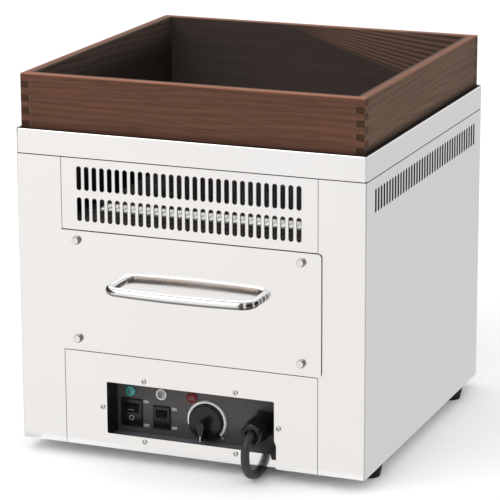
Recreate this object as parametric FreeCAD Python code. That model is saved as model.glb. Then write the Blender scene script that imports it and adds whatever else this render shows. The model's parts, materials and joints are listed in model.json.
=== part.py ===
"""Electric roaster: a boxed steel body with a front drawer, a control recess and a wooden top box.

Lengths are in millimetres. The origin is on the table, under the middle of the roaster with its handle.
X runs from the left to the right side, Y from the front to the rear, and Z upwards.
"""

import FreeCAD, Part
import math
import os

V = FreeCAD.Vector
X_AXIS, Y_AXIS, Z_AXIS = V(1, 0, 0), V(0, 1, 0), V(0, 0, 1)

# ---------------------------------------------------------------- casing
body_width = 400.0  # over the side panels
body_depth = 400.0  # front posts to rear panel
body_height = 350.0  # lower edge of the side panels to the top of the collar
sheet = 1.2  # stainless casing sheet
bend_inside = 0.6  # inside radius of the casing's folds
sheet_gap = 0.2  # between casing sheets that slide over each other
screw_play = 0.2  # on the diameter, round screws, bolts, studs and bushes
post_width = 52.5  # front flange of a side panel
panel_gap = 0.3  # between a post and the panel beside it
lip_width = 10.0  # strip behind a post that reaches under the front panels
lip_weld_width = 14.0  # the strip's hold on the post
rear_flange_width = 20.0

collar_height = 27.0
collar_joint = 0.9  # open joint between the collar and the panels under it
collar_corner = 3.0
rim_bend = 1.6  # outside radius of the fold along the collar's upper edge

foot_height = 14.0
foot_top_diameter = 30.0
foot_bottom_diameter = 24.0
foot_inset_x = 15.0  # foot centre to the side of the body
foot_inset_y = 57.0  # foot centre to the front or rear of the body
foot_stud = 5.0
foot_nut_width = 8.0
foot_nut_height = 3.2

pan_flange = 7.2  # height of the base pan's upturned edge above its floor
pan_front_setback = 5.0  # front edge of the base pan behind the posts
cord_tab_width = 26.0
cord_tab_slit = 8.4  # notch's right side to the tab's upper corner
cord_tab_height = 14.0  # above the lower edge of the body
cord_tab_slant = 3.0  # how far the foot of its right end reaches past the top

rear_screw = 4.0
rear_screw_head = 7.5
rear_screw_head_height = 2.4
rear_screw_rise = 45.0  # lowest and highest rear screws to the ends of the rear panel

# ---------------------------------------------------------------- vents
vent_pitch = 9.0
vent_width = 5.0
vent_length = 25.8
vent_margin = 18.5  # least sheet beside a row of front vents
vent_top_row_drop = 22.8  # collar's lower edge to the middle of the top row
vent_row_pitch = 34.1
side_vent_width = 4.5
side_vent_length = 25.0
side_vent_margin = 27.0
side_vent_drop = 25.5
rear_vent_margin = 88.0
rear_vent_pitch = 18.0

# ---------------------------------------------------------------- wooden top box and its well
well_gap = 1.9  # collar to wood
ledge_width = 26.0
board_thickness = 11.5
board_height = 95.0
board_rise = 59.0  # above the collar
finger_count = 13
top_finger = 8.6
board_easing = 0.8  # rounding of the box's long edges
warming_plate_thickness = 2.0
warming_plate_gap = 0.6

# ---------------------------------------------------------------- front panels and drawer front
lower_panel_height = 107.0
drawer_front_lap = 4.0  # drawer front over each post
drawer_front_height = 134.0
drawer_front_sheet = 1.5
drawer_front_corner = 4.2
drawer_front_lower_gap = 1.5
drawer_front_upper_gap = 0.8
drawer_front_seat = 0.3  # shut drawer front to the posts
drawer_travel = 270.0

bolt_inset_x = 22.2  # drawer front's side edges to the bolts
bolt_inset_top = 10.5
bolt_inset_bottom = 13.5
bolt_diameter = 5.0
bolt_head_width = 8.0
bolt_head_height = 3.5
bolt_bevel = 0.9  # radial width of the bevel round the head's face
bolt_bevel_height = 1.0
bolt_washer = 10.0
bolt_washer_thickness = 1.0
spacer_diameter = 10.0
bolt_nut_height = 4.0

handle_rod = 10.0
handle_span = 165.0
handle_reach = 32.4  # drawer front to the middle of the grip
handle_bend = 14.0
handle_drop = 55.5  # drawer front's upper edge to the handle
handle_screw = 5.0
handle_screw_head = 8.5
handle_screw_head_height = 2.6

# ---------------------------------------------------------------- chamber
chamber_sheet = 1.0
chamber_post_gap = 11.5  # post's edge to the chamber's side
chamber_rise = 3.0  # chamber floor above the lower front panel
chamber_roof_drop = 2.5  # chamber roof below the drawer front's upper edge
chamber_rear_space = 47.6  # chamber's rear to the rear of the body
chamber_flange = 11.0
insulation_thickness = 9.0
insulation_setback = 6.0
jacket_sheet = 0.8
stand_width = 30.0
stand_spacing = 200.0
stand_rear_gap = 30.0

heater_diameter = 8.0
heater_leg_spacing = 150.0
heater_bend = 30.0
heater_front_gap = 26.0  # behind the chamber mouth
heater_tail = 12.0
upper_heater_drop = 11.0
lower_heater_rise = 9.0
heater_hole_gap = 0.4
heater_flange_thickness = 2.0
heater_flange_height = 24.0
heater_flange_margin = 16.0
heater_clip_width = 6.0
heater_clip_wall = 1.0

rail_width = 9.0
rail_sheet = 1.2
rail_slot = 3.8
rail_rise = 47.0  # chamber floor to the rail's lower face
rail_front_gap = 14.0
runner_thickness = 3.0
runner_height = 14.0
runner_reach_gap = 1.4  # runner's edge to the back of the rail
stop_reach = 5.0  # how far a drawer stop stands out towards the other
stop_lap = 2.7  # overlap of the two stops, seen from the front
stop_height = 3.6
stop_gap = 0.3  # between the stops when the drawer is fully out

drawer_pan_sheet = 1.0
drawer_pan_height = 50.0
drawer_pan_rise = 18.0  # chamber floor to the pan's underside
drawer_pan_rear_gap = 8.0
pan_side_gap = 16.0  # chamber wall to the pan's side
inner_front_setback = 8.0
inner_front_side_gap = 2.0  # to the chamber's side
inner_front_rise = 2.0
inner_front_drop = 1.5  # below the chamber's roof

tray_sheet = 0.8
tray_height = 12.0
tray_side_gap = 8.0
rack_bar = 2.0
rack_height = 22.0
rack_wall_gap = 2.0
rack_end_gap = 8.0
rack_wire = 4.0
rack_wire_count = 12

# ---------------------------------------------------------------- control recess
recess_width = 195.4
recess_height = 58.6
recess_rise = 16.6  # panel's lower edge to the recess
recess_corner = 1.5
recess_depth = 31.0  # panel face to control plate
housing_side_gap = 2.0
housing_top_gap = 2.0
housing_floor_drop = 6.4
housing_sheet = 1.2
housing_flange = 12.0
housing_back_flange = 5.0
plate_gap = 0.3
plate_thickness = 1.2

cord_notch_width = 37.5
cord_notch_outset = 2.3  # recess's right side to the notch's right side
cord_notch_shoulder = 26.0  # panel's lower edge to the notch's chamfer
cord_notch_chamfer = 5.5
housing_notch_depth = 8.0
housing_notch_margin = 1.5

panel_screw = 3.0
panel_screw_head = 5.5
panel_screw_head_height = 1.6
panel_screw_inset = 44.3  # recess's side to the upper and lower screws
panel_screw_outset = 5.1  # recess edge to the middle of a screw

# Places on the control plate, from the left side and the lower edge of the recess
main_switch_place = (15.8, 16.5)
main_bezel = (25.5, 31.5)
main_rocker_size = (17.0, 21.0)
buzzer_switch_place = (51.7, 14.4)
buzzer_bezel = (20.5, 26.0)
buzzer_rocker_size = (13.0, 17.0)
bezel_thickness = 2.2
switch_body_depth = 20.0
switch_body_margin = 1.6  # bezel overhang round the plate's cut-out
switch_cut_gap = 0.2
rocker_gap = 0.3
rocker_throw = 14.0  # degrees from off to on
rocker_depth = 5.0
rocker_pivot_depth = 2.5
rocker_crest = 0.2  # share of the halves' rise that their meeting line sinks by
rocker_pin = 3.0
rocker_pin_length = 1.5
rocker_pin_gap = 0.05

lamp_places = {
    "power_lamp_lens": (14.4, 40.7),
    "high_temperature_lamp_lens": (51.3, 40.8),
    "heating_lamp_lens": (87.5, 41.2),
}
lamp_diameter = 12.8
lamp_lens_diameter = 10.4
lamp_bezel_thickness = 1.6
lamp_dome_height = 2.6
lamp_barrel_diameter = 10.0
lamp_barrel_length = 14.0
lamp_cut_gap = 0.1
lamp_wall = 1.0
lamp_edge = 0.4  # bevel of the lamp frame
lens_foot = 2.0  # how far the lens reaches into the barrel

timer_place = (105.3, 16.9)
timer_ring_diameter = 46.0
timer_ring_width = 3.2
timer_ring_height = 2.4
ring_shoulder = 0.6  # share of the ring's height where its slopes start
ring_crown = 0.4  # share of the ring's width that is flat
knob_diameter = 38.4
knob_skirt = 7.0
knob_edge = 1.8  # rounding of the skirt's front edge
knob_height = 20.0
knob_gap = 0.6  # knob to control plate
knob_grip = 11.0  # width of the grip's round end, at its root
knob_pointer = 4.4  # width of the grip's tip, at its root
knob_pointer_margin = 0.6  # skirt's edge to the grip's tip
knob_draft = 1.0  # how much the grip shrinks all round towards its face
timer_shaft_diameter = 6.0
timer_shaft_play = 0.05
timer_shaft_seat = 9.0  # depth of the shaft in the knob
timer_shaft_hold = 0.4  # part of the timer's depth that the shaft reaches
timer_bush_diameter = 10.0
timer_body = 36.0
timer_body_depth = 28.0

gland_inset = 21.7  # recess's right side to the gland
gland_rise = 22.9
gland_thread = 20.0
gland_thread_end = 2.0  # thread past its nut
gland_flange_width = 27.0
gland_flange_thickness = 5.0
gland_length = 44.0
gland_nut_diameter = 28.0
gland_nut_length = 22.0
gland_flute = 2.6
gland_flute_count = 12
gland_end_diameter = 23.0
gland_end_round = 1.6
gland_mouth_diameter = 14.0
gland_mouth_depth = 5.0
gland_back_nut = 26.0
gland_back_nut_thickness = 4.0

# ---------------------------------------------------------------- pieces inside the base
terminal_block_size = (60.0, 22.0, 18.0)
terminal_block_place = (-30.0, 70.0)  # x, and distance from the rear
terminal_way = (12.0, 10.0, 6.0)
buzzer_diameter = 28.0
buzzer_height = 12.0
buzzer_hole = 5.0
buzzer_hole_depth = 3.0
buzzer_place = (-20.0, 95.0)  # x, and distance from the front
thermostat_diameter = 24.0
thermostat_height = 9.0
thermostat_drop = 45.0
thermostat_base = (36.0, 1.5, 14.0)

# ---------------------------------------------------------------- cord
cord_diameter = 9.5
coil_turn_radius = 52.0
coil_columns = 3
coil_rows = 2
coil_place = (12.0, 86.0)  # x, and distance behind the rear panel
coil_corner = 4.0
plug_length = 36.0
plug_width = 27.0
plug_height = 19.0
plug_corner = 6.0
plug_relief_length = 26.0
plug_relief_diameter = 13.0
plug_relief_wall = 0.6  # where the relief begins on the cord
pin_spacing = 12.7
pin_size = (6.3, 1.5, 17.0)  # width, thickness, length

# ---------------------------------------------------------------- places worked out from the sizes
half_width = body_width / 2
handle_outer_reach = drawer_front_seat + drawer_front_sheet + handle_reach + handle_rod / 2
front = -(body_depth + handle_outer_reach + rear_screw_head_height) / 2 + handle_outer_reach
rear = front + body_depth
middle = (front + rear) / 2
body_bottom = foot_height
body_top = body_bottom + body_height
collar_bottom = body_top - collar_height
panel_top = collar_bottom - collar_joint
ledge_top = body_top + board_rise - board_height

post_edge = half_width - post_width
panel_half = post_edge - panel_gap
drawer_front_half = post_edge + drawer_front_lap
lip_back = front + 2 * sheet
lower_panel_top = body_bottom + lower_panel_height
drawer_front_bottom = lower_panel_top + drawer_front_lower_gap
drawer_front_top = drawer_front_bottom + drawer_front_height
upper_panel_bottom = drawer_front_top + drawer_front_upper_gap
drawer_face = front - drawer_front_seat - drawer_front_sheet
drawer_back = front - drawer_front_seat

chamber_floor = lower_panel_top + chamber_rise
chamber_roof = drawer_front_top - chamber_roof_drop
chamber_half = post_edge - chamber_post_gap
chamber_front = lip_back
chamber_rear = rear - chamber_rear_space
inner_front_face = front + inner_front_setback
pan_front = inner_front_face + drawer_pan_sheet
pan_rear = chamber_rear - drawer_pan_rear_gap

recess_bottom = body_bottom + recess_rise
recess_top = recess_bottom + recess_height
recess_half = recess_width / 2
plate_face = front + recess_depth
plate_back = plate_face + plate_thickness
cord_notch_right = recess_half + cord_notch_outset
cord_notch_left = cord_notch_right - cord_notch_width
gland_place = (recess_width - gland_inset, gland_rise)


# ---------------------------------------------------------------- shared forms
def block(x0, x1, y0, y1, z0, z1):
    """A box between two corners."""
    return Part.makeBox(x1 - x0, y1 - y0, z1 - z0, V(x0, y0, z0))


def rod(start, end, diameter):
    """A round bar between two points."""
    start, end = V(*start), V(*end)
    return Part.makeCylinder(diameter / 2, (end - start).Length, start, end - start)


def both_sides(shape):
    """The right-hand piece and its mirror image on the left."""
    return shape, shape.mirror(V(0, 0, 0), X_AXIS)


def joined(shapes):
    """One solid made of pieces that touch or overlap."""
    shapes = list(shapes)
    return shapes[0].multiFuse(shapes[1:]).removeSplitter()


def cut(shape, tools):
    return shape.cut(list(tools))


def rounded_route(points, radii):
    """Straight runs through the points, joined by tangent arcs at the inner points."""
    points = [V(*p) for p in points]
    edges, at = [], points[0]
    for i, radius in zip(range(1, len(points) - 1), radii):
        corner = points[i]
        back = (points[i - 1] - corner).normalize()
        ahead = (points[i + 1] - corner).normalize()
        half = back.getAngle(ahead) / 2
        reach = radius / math.tan(half)
        inward = (back + ahead).normalize()
        apex = corner + inward * (radius / math.sin(half) - radius)
        enter, leave = corner + back * reach, corner + ahead * reach
        edges.append(Part.LineSegment(at, enter).toShape())
        edges.append(Part.Arc(enter, apex, leave).toShape())
        at = leave
    edges.append(Part.LineSegment(at, points[-1]).toShape())
    return Part.Wire(edges)


def round_tube(points, radii, diameter):
    """A round bar bent along a rounded route."""
    route = rounded_route(points, radii)
    start, ahead = V(*points[0]), V(*points[1]) - V(*points[0])
    ring = Part.Wire([Part.makeCircle(diameter / 2, start, ahead)])
    return route.makePipeShell([ring], True, False, 2)


def folded_sheet(points, thickness, bottom, top):
    """An upright sheet folded along a plan route through its mid-thickness."""
    radius = bend_inside + thickness / 2
    flat = [V(x, y, bottom) for x, y in points]
    sides = []
    for offset in (thickness / 2, -thickness / 2):
        side = []
        for i, corner in enumerate(flat):
            before = (corner - flat[i - 1]).normalize() if i else None
            after = (flat[i + 1] - corner).normalize() if i + 1 < len(flat) else None
            if before is None or after is None:
                run = after or before
                side.append(corner + V(-run.y, run.x, 0) * offset)
                continue
            turn = before.cross(after).z
            half = before.getAngle(after) / 2
            reach = radius * math.tan(half)
            bow = (after - before).normalize()
            apex = corner + bow * (radius / math.cos(half) - radius)
            hub = corner + bow * (radius / math.cos(half))
            bend = []
            for point in (corner - before * reach, apex, corner + after * reach):
                spoke = (point - hub).normalize()
                bend.append(hub + spoke * (radius - math.copysign(offset, turn * offset)))
            side.append(bend)
        sides.append(side)
    edges = []

    def run_along(side):
        at = side[0]
        for item in side[1:]:
            if isinstance(item, list):
                edges.append(Part.LineSegment(at, item[0]).toShape())
                edges.append(Part.Arc(*item).toShape())
                at = item[2]
            else:
                edges.append(Part.LineSegment(at, item).toShape())
                at = item
        return at

    left, right = sides
    back = [item[::-1] if isinstance(item, list) else item for item in right[::-1]]
    end = run_along(left)
    edges.append(Part.LineSegment(end, back[0]).toShape())
    end = run_along(back)
    edges.append(Part.LineSegment(end, left[0]).toShape())
    return Part.Face(Part.Wire(edges)).extrude(V(0, 0, top - bottom))


def rounded_prism(half_x, half_y, z0, z1, corner, centre_y=0.0):
    """An upright block with rounded corners, centred on X = 0 and the given Y."""
    solid = block(-half_x, half_x, centre_y - half_y, centre_y + half_y, z0, z1)
    upright = [e for e in solid.Edges if abs(e.Vertexes[0].Z - e.Vertexes[-1].Z) > (z1 - z0) / 2]
    return solid.makeFillet(corner, upright)


def slot_face(place, shift, length, width):
    """An upright slot with round ends, shifted along its row; place(across, up) gives points."""
    half, straight = width / 2, (length - width) / 2

    def at(across, up):
        return place(shift + across, up)[0]

    edges = [
        Part.Arc(at(half, straight), at(0, straight + half), at(-half, straight)),
        Part.LineSegment(at(-half, straight), at(-half, -straight)),
        Part.Arc(at(-half, -straight), at(0, -straight - half), at(half, -straight)),
        Part.LineSegment(at(half, -straight), at(half, straight)),
    ]
    return Part.Face(Part.Wire([edge.toShape() for edge in edges]))


def vent_row(span, pitch, length, width, place):
    """Cutting tools for as many slots as a row takes; place also gives the cutting vector."""
    count = 1 + int(span // pitch)
    shifts = [(i - (count - 1) / 2) * pitch for i in range(count)]
    return [slot_face(place, shift, length, width).extrude(place(0, 0)[1]) for shift in shifts]


def hexagon(centre, direction, across_flats, length):
    """A hexagonal bar starting at a centre and running along Y or Z."""
    radius = across_flats / math.sqrt(3)
    points = []
    for i in range(7):
        a, b = radius * math.cos(i * math.pi / 3), radius * math.sin(i * math.pi / 3)
        points.append(V(a, 0, b) if abs(direction.y) > 0.5 else V(a, b, 0))
    face = Part.Face(Part.makePolygon(points))
    bar = face.extrude(V(direction) * length)
    bar.translate(V(*centre))
    return bar


def turned(profile, centre, degrees=360.0):
    """A turned piece from (radius, distance towards the rear) points, about a line along Y."""
    points = [V(r, y, 0) for r, y in profile]
    face = Part.Face(Part.makePolygon(points + points[:1]))
    solid = face.revolve(V(0, 0, 0), Y_AXIS, degrees)
    solid.translate(V(*centre))
    return solid


def on_plate(place, distance=0.0):
    """A point on the control plate's face; distance runs towards the rear."""
    return (place[0] - recess_half, plate_face + distance, recess_bottom + place[1])


# ---------------------------------------------------------------- casing pieces
def make_side_panel():
    """Right side panel: folded with a front post and a rear flange, and the post's welded strip."""
    mid = sheet / 2
    route = [
        (post_edge, front + mid),
        (half_width - mid, front + mid),
        (half_width - mid, rear - sheet - mid),
        (half_width - rear_flange_width, rear - sheet - mid),
    ]
    panel = folded_sheet(route, sheet, body_bottom, panel_top)
    lip_start, lip_end = post_edge - lip_width, post_edge + lip_weld_width
    lip = block(lip_start, lip_end, front + sheet, lip_back, body_bottom, panel_top)
    panel = joined([panel, lip])
    row_height = collar_bottom - side_vent_drop

    def place(across, up):
        return V(half_width - 2 * sheet, middle + across, row_height + up), V(3 * sheet, 0, 0)

    span = body_depth - 2 * side_vent_margin
    slots = vent_row(span, vent_pitch, side_vent_length, side_vent_width, place)
    screws = [
        rod((x, rear - 3 * sheet, z), (x, rear, z), rear_screw + screw_play)
        for x, z in rear_screw_places()
        if x > 0
    ]
    return cut(panel, slots + screws)


def rear_screw_places():
    """The rear panel's screws, on the middle of the side panels' rear flanges."""
    x = half_width - rear_flange_width / 2
    low, high = body_bottom + rear_screw_rise, panel_top - rear_screw_rise
    return [(side * x, z) for side in (-1, 1) for z in (low, high)]


def make_rear_panel():
    """Flat rear cover with two rows of vents, screwed on the side panels' rear flanges."""
    edge = half_width - sheet_gap - sheet
    panel = block(-edge, edge, rear - sheet, rear, body_bottom, panel_top)
    tools = []
    for row in (0, 1):
        height = collar_bottom - vent_top_row_drop - row * vent_row_pitch

        def place(across, up):
            return V(across, rear - 2 * sheet, height + up), V(0, 3 * sheet, 0)

        tools += vent_row(
            2 * (edge - rear_vent_margin), rear_vent_pitch, vent_length, vent_width, place
        )
    for x, z in rear_screw_places():
        hole = rear_screw + screw_play
        tools.append(rod((x, rear - 2 * sheet, z), (x, rear + sheet, z), hole))
    return cut(panel, tools)


def make_rear_screws():
    """Pan-head screws through the rear panel and the flanges behind it."""
    head, shank = rear_screw_head / 2, rear_screw / 2
    lift = rear_screw_head_height
    profile = [(0, -3 * sheet), (shank, -3 * sheet), (shank, 0), (head, 0)]
    profile += [(head, lift / 2), (head / 2, lift), (0, lift)]
    return [turned(profile, (x, rear, z)) for x, z in rear_screw_places()]


def make_upper_panel():
    """Flat panel above the drawer with two rows of vents."""
    panel = block(-panel_half, panel_half, front, front + sheet, upper_panel_bottom, panel_top)
    tools = []
    for row in (0, 1):
        height = collar_bottom - vent_top_row_drop - row * vent_row_pitch

        def place(across, up):
            return V(across, front - sheet, height + up), V(0, 3 * sheet, 0)

        tools += vent_row(
            2 * (panel_half - vent_margin), vent_pitch, vent_length, vent_width, place
        )
    return cut(panel, tools)


def panel_screw_places():
    """Six screws round the recess, as (x, z)."""
    x, half_pitch = recess_half + panel_screw_outset, recess_half - panel_screw_inset
    z = (recess_bottom + recess_top) / 2
    places = [(side * x, z) for side in (-1, 1)]
    for height in (recess_bottom - panel_screw_outset, recess_top + panel_screw_outset):
        places += [(side * half_pitch, height) for side in (-1, 1)]
    return places


def cord_notch(margin, depth, top):
    """The corner cut out for the cord, from the body's lower edge into the recess."""
    shoulder = body_bottom + cord_notch_shoulder
    left, right = cord_notch_left - margin, cord_notch_right + margin
    low = body_bottom - sheet
    points = [
        V(left, front - sheet, low),
        V(right, front - sheet, low),
        V(right, front - sheet, shoulder),
        V(recess_half + margin, front - sheet, shoulder + cord_notch_chamfer),
        V(recess_half + margin, front - sheet, top),
        V(left, front - sheet, top),
    ]
    face = Part.Face(Part.makePolygon(points + points[:1]))
    return face.extrude(V(0, depth + sheet, 0))


def make_lower_panel():
    """Flat panel under the drawer, with the recess opening, the cord notch and screw holes."""
    panel = block(-panel_half, panel_half, front, front + sheet, body_bottom, lower_panel_top)
    opening = block(
        -recess_half, recess_half, front - sheet, front + 2 * sheet, recess_bottom, recess_top
    )
    opening = opening.makeFillet(
        recess_corner, [e for e in opening.Edges if abs(e.tangentAt(0).y) > 0.9]
    )
    notch_top = body_bottom + cord_notch_shoulder + cord_notch_chamfer + recess_corner
    tools = [opening, cord_notch(0.0, 2 * sheet, notch_top)]
    for x, z in panel_screw_places():
        hole = panel_screw + screw_play
        tools.append(rod((x, front - sheet, z), (x, front + 2 * sheet, z), hole))
    return cut(panel, tools)


def make_panel_screws():
    """Small round-head screws that hold the control housing behind the lower panel."""
    head, shank = panel_screw_head / 2, panel_screw / 2
    lift = panel_screw_head_height
    profile = [(0, 3 * sheet), (shank, 3 * sheet), (shank, 0), (head, 0)]
    profile += [(head, -lift / 2), (head / 2, -lift), (0, -lift)]
    return [turned(profile, (x, front, z)) for x, z in panel_screw_places()]


def make_collar():
    """Folded top collar: skirt flush with the panels, rim, well wall behind them and the ledge."""
    outer, depth = half_width, body_depth / 2
    inner = half_width - sheet - sheet_gap
    inner_depth = body_depth / 2 - 2 * sheet - sheet_gap
    ledge = inner - sheet - ledge_width
    ledge_depth = inner_depth - sheet - ledge_width

    def ring(size_x, size_y, z0, z1, corner):
        return rounded_prism(size_x, size_y, z0, z1, corner, middle)

    corner = collar_corner
    skirt = ring(outer, depth, collar_bottom, body_top, corner)
    skirt = skirt.makeFillet(rim_bend, [e for e in skirt.Edges if e.BoundBox.ZMin > body_top - sheet])
    channel_top = body_top - sheet
    channel = ring(outer - sheet, depth - sheet, collar_bottom - sheet, channel_top, corner - sheet)
    channel_core = ring(inner, inner_depth, collar_bottom - sheet, channel_top, corner - sheet)
    skirt = skirt.cut(channel.cut(channel_core))
    well = ring(inner, inner_depth, ledge_top - sheet, body_top, corner - sheet)
    hollow = ring(inner - sheet, inner_depth - sheet, ledge_top, body_top + sheet, corner - sheet)
    window = ring(ledge, ledge_depth, ledge_top - 2 * sheet, ledge_top + sheet, corner)
    return joined([skirt, well]).cut([hollow, window])


def make_base_pan():
    """Floor sheet with upturned edges, a raised tab under the cord and holes for the feet."""
    side = half_width - sheet - sheet_gap
    low, front_edge = body_bottom, front + pan_front_setback
    rear_edge = rear - 2 * sheet - sheet_gap
    top = low + sheet + pan_flange
    pan = block(-side, side, front_edge, rear_edge, low, top)
    pan = pan.cut(
        block(-side + sheet, side - sheet, front_edge + sheet, rear_edge - sheet, low + sheet, top)
    )
    tab_right = cord_notch_right - cord_tab_slit
    tab_left = tab_right - cord_tab_width
    tab_top = low + cord_tab_height
    points = [
        V(tab_left, front_edge, low + sheet),
        V(tab_right + cord_tab_slant, front_edge, low + sheet),
        V(tab_right, front_edge, tab_top),
        V(tab_left, front_edge, tab_top),
    ]
    tab = Part.Face(Part.makePolygon(points + points[:1])).extrude(V(0, sheet, 0))
    pan = joined([pan, tab])
    hole = foot_stud + screw_play
    holes = [rod((x, y, low - 1), (x, y, low + 2 * sheet), hole) for x, y in foot_places()]
    return cut(pan, holes)


def foot_places():
    x = half_width - foot_inset_x
    return [(sx * x, y) for y in (front + foot_inset_y, rear - foot_inset_y) for sx in (-1, 1)]


def make_foot(x, y):
    """Tapered rubber foot."""
    return Part.makeCone(foot_bottom_diameter / 2, foot_top_diameter / 2, foot_height, V(x, y, 0))


def make_foot_nuts():
    """Studs of the feet with their nuts on the base pan."""
    nuts = []
    for x, y in foot_places():
        nut = hexagon((x, y, body_bottom + sheet), Z_AXIS, foot_nut_width, foot_nut_height)
        stud_top = body_bottom + sheet + foot_nut_height + 2
        nuts.append(joined([nut, rod((x, y, body_bottom), (x, y, stud_top), foot_stud)]))
    return nuts


# ---------------------------------------------------------------- wooden top box
def finger_levels():
    """Heights of the joints between fingers, from the top down."""
    step = (board_height - top_finger) / (finger_count - 1)
    top = ledge_top + board_height
    return [top] + [top - top_finger - i * step for i in range(finger_count)]


def make_boards():
    """Four boards whose ends interlock; the front and rear boards hold the top finger."""
    outer_x = half_width - 2 * sheet - sheet_gap - well_gap
    outer_y = body_depth / 2 - 3 * sheet - sheet_gap - well_gap
    low, high = ledge_top, ledge_top + board_height
    inner_x, inner_y = outer_x - board_thickness, outer_y - board_thickness
    near, far = middle - outer_y, middle + outer_y
    frame = block(-outer_x, outer_x, near, far, low, high)
    frame = frame.cut(
        block(-inner_x, inner_x, middle - inner_y, middle + inner_y, low - 1, high + 1)
    )
    level = [e for e in frame.Edges if abs(e.tangentAt(e.FirstParameter).z) < 0.5]
    frame = frame.makeFillet(board_easing, level)
    levels = finger_levels()
    side_fingers = []
    for i in range(1, finger_count, 2):
        for end in (-1, 1):
            x0, x1 = sorted((end * (outer_x + 1), end * inner_x))
            for y0, y1 in ((near - 1, middle - inner_y), (middle + inner_y, far + 1)):
                side_fingers.append(block(x0, x1, y0, y1, levels[i + 1], levels[i]))
    boards = {}
    for name, y0, y1 in (
        ("rear_board", middle + inner_y, far), ("front_board", near, middle - inner_y)
    ):
        board = frame.common(block(-outer_x, outer_x, y0, y1, low, high))
        boards[name] = cut(board, side_fingers)
    for name, x0, x1 in (("right_board", inner_x, outer_x), ("left_board", -outer_x, -inner_x)):
        board = frame.common(block(x0, x1, near, far, low, high))
        boards[name] = cut(board, [boards["front_board"], boards["rear_board"]])
    return boards


def make_warming_plate():
    """Loose plate on the ledge, inside the wooden box."""
    reach = warming_plate_gap + board_thickness + well_gap + sheet_gap
    half_x, half_y = half_width - 2 * sheet - reach, body_depth / 2 - 3 * sheet - reach
    top = ledge_top + warming_plate_thickness
    return rounded_prism(half_x, half_y, ledge_top, top, collar_corner, middle)


# ---------------------------------------------------------------- roasting chamber
def make_chamber():
    """Sheet tunnel with a closed rear, an outward flange at its mouth and heater holes."""
    half, low, high = chamber_half, chamber_floor, chamber_roof
    wall = chamber_sheet
    shell = block(-half - wall, half + wall, chamber_front, chamber_rear + wall, low - wall, high + wall)
    side, drop = half + chamber_flange, chamber_flange - chamber_rise
    flange = block(-side, side, chamber_front, chamber_front + wall, low - drop, high + drop / 2)
    hollow = block(-half, half, chamber_front - wall, chamber_rear, low, high)
    body = joined([shell, flange]).cut(hollow)
    holes = []
    for x, z in heater_leg_places():
        hole = heater_diameter + heater_hole_gap
        holes.append(rod((x, chamber_rear - wall, z), (x, chamber_rear + 2 * wall, z), hole))
    return cut(body, holes)


def heater_heights():
    return {
        "upper": chamber_roof - upper_heater_drop,
        "lower": chamber_floor + lower_heater_rise,
    }


def heater_leg_places():
    half = heater_leg_spacing / 2
    return [(side * half, z) for z in heater_heights().values() for side in (-1, 1)]


def make_heater(height):
    """Sheathed heating rod bent into a loop, with both ends through the rear wall."""
    half = heater_leg_spacing / 2
    tail = chamber_rear + chamber_sheet + heater_tail
    nose = chamber_front + heater_front_gap
    route = [(-half, tail, height), (-half, nose, height), (half, nose, height), (half, tail, height)]
    return round_tube(route, [heater_bend] * 2, heater_diameter)


def make_heater_flanges():
    """Fixing strips of the heaters on the outside of the chamber's rear wall."""
    strips = []
    for z in heater_heights().values():
        half = heater_leg_spacing / 2 + heater_flange_margin
        near = chamber_rear + chamber_sheet
        far = near + heater_flange_thickness
        strip = block(-half, half, near, far, z - heater_flange_height / 2, z + heater_flange_height / 2)
        legs = [(side * heater_leg_spacing / 2, z) for side in (-1, 1)]
        strips.append(cut(strip, [rod((x, near - 1, z), (x, far + 1, z), heater_diameter) for x, z in legs]))
    return strips


def make_heater_clips():
    """Strap hangers that hold the front of each heater off the roof and the floor."""
    clips = []
    near = chamber_front + heater_front_gap + heater_bend
    for z, surface in (
        (heater_heights()["upper"], chamber_roof),
        (heater_heights()["lower"], chamber_floor),
    ):
        for side in (-1, 1):
            x = side * heater_leg_spacing / 2
            ring = heater_diameter / 2 + heater_clip_wall
            low, high = sorted((z, surface))
            far = near + heater_clip_width
            hanger = block(x - heater_clip_wall, x + heater_clip_wall, near, far, low, high)
            clip = joined([hanger, rod((x, near, z), (x, far, z), 2 * ring)])
            clips.append(cut(clip, [rod((x, near - 1, z), (x, far + 1, z), heater_diameter)]))
    return clips


def sleeve(clearance, wall):
    """A rectangular sleeve round the chamber, from behind its mouth to its rear wall."""
    out = chamber_sheet + clearance
    half, low, high = chamber_half + out, chamber_floor - out, chamber_roof + out
    near, far = chamber_front + insulation_setback, chamber_rear + chamber_sheet
    outer = block(-half - wall, half + wall, near, far, low - wall, high + wall)
    return outer.cut(block(-half, half, near - 1, far + 1, low, high))


def make_stands():
    """Folded channels that carry the jacket on the base pan."""
    top = chamber_floor - chamber_sheet - insulation_thickness - jacket_sheet
    y0 = rear - stand_rear_gap - 2 * stand_width
    stands = []
    for side in (-1, 1):
        x = side * stand_spacing / 2
        half = stand_width / 2
        low = body_bottom + sheet
        outer = block(x - half, x + half, y0, y0 + stand_width, low, top)
        hollow = block(x - half + sheet, x + half - sheet, y0 - 1, y0 + stand_width + 1, low - 1, top - sheet)
        stands.append(outer.cut(hollow))
    return stands


def rail_level():
    """Underside of the rail's slot."""
    return chamber_floor + rail_rise + rail_sheet


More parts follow.
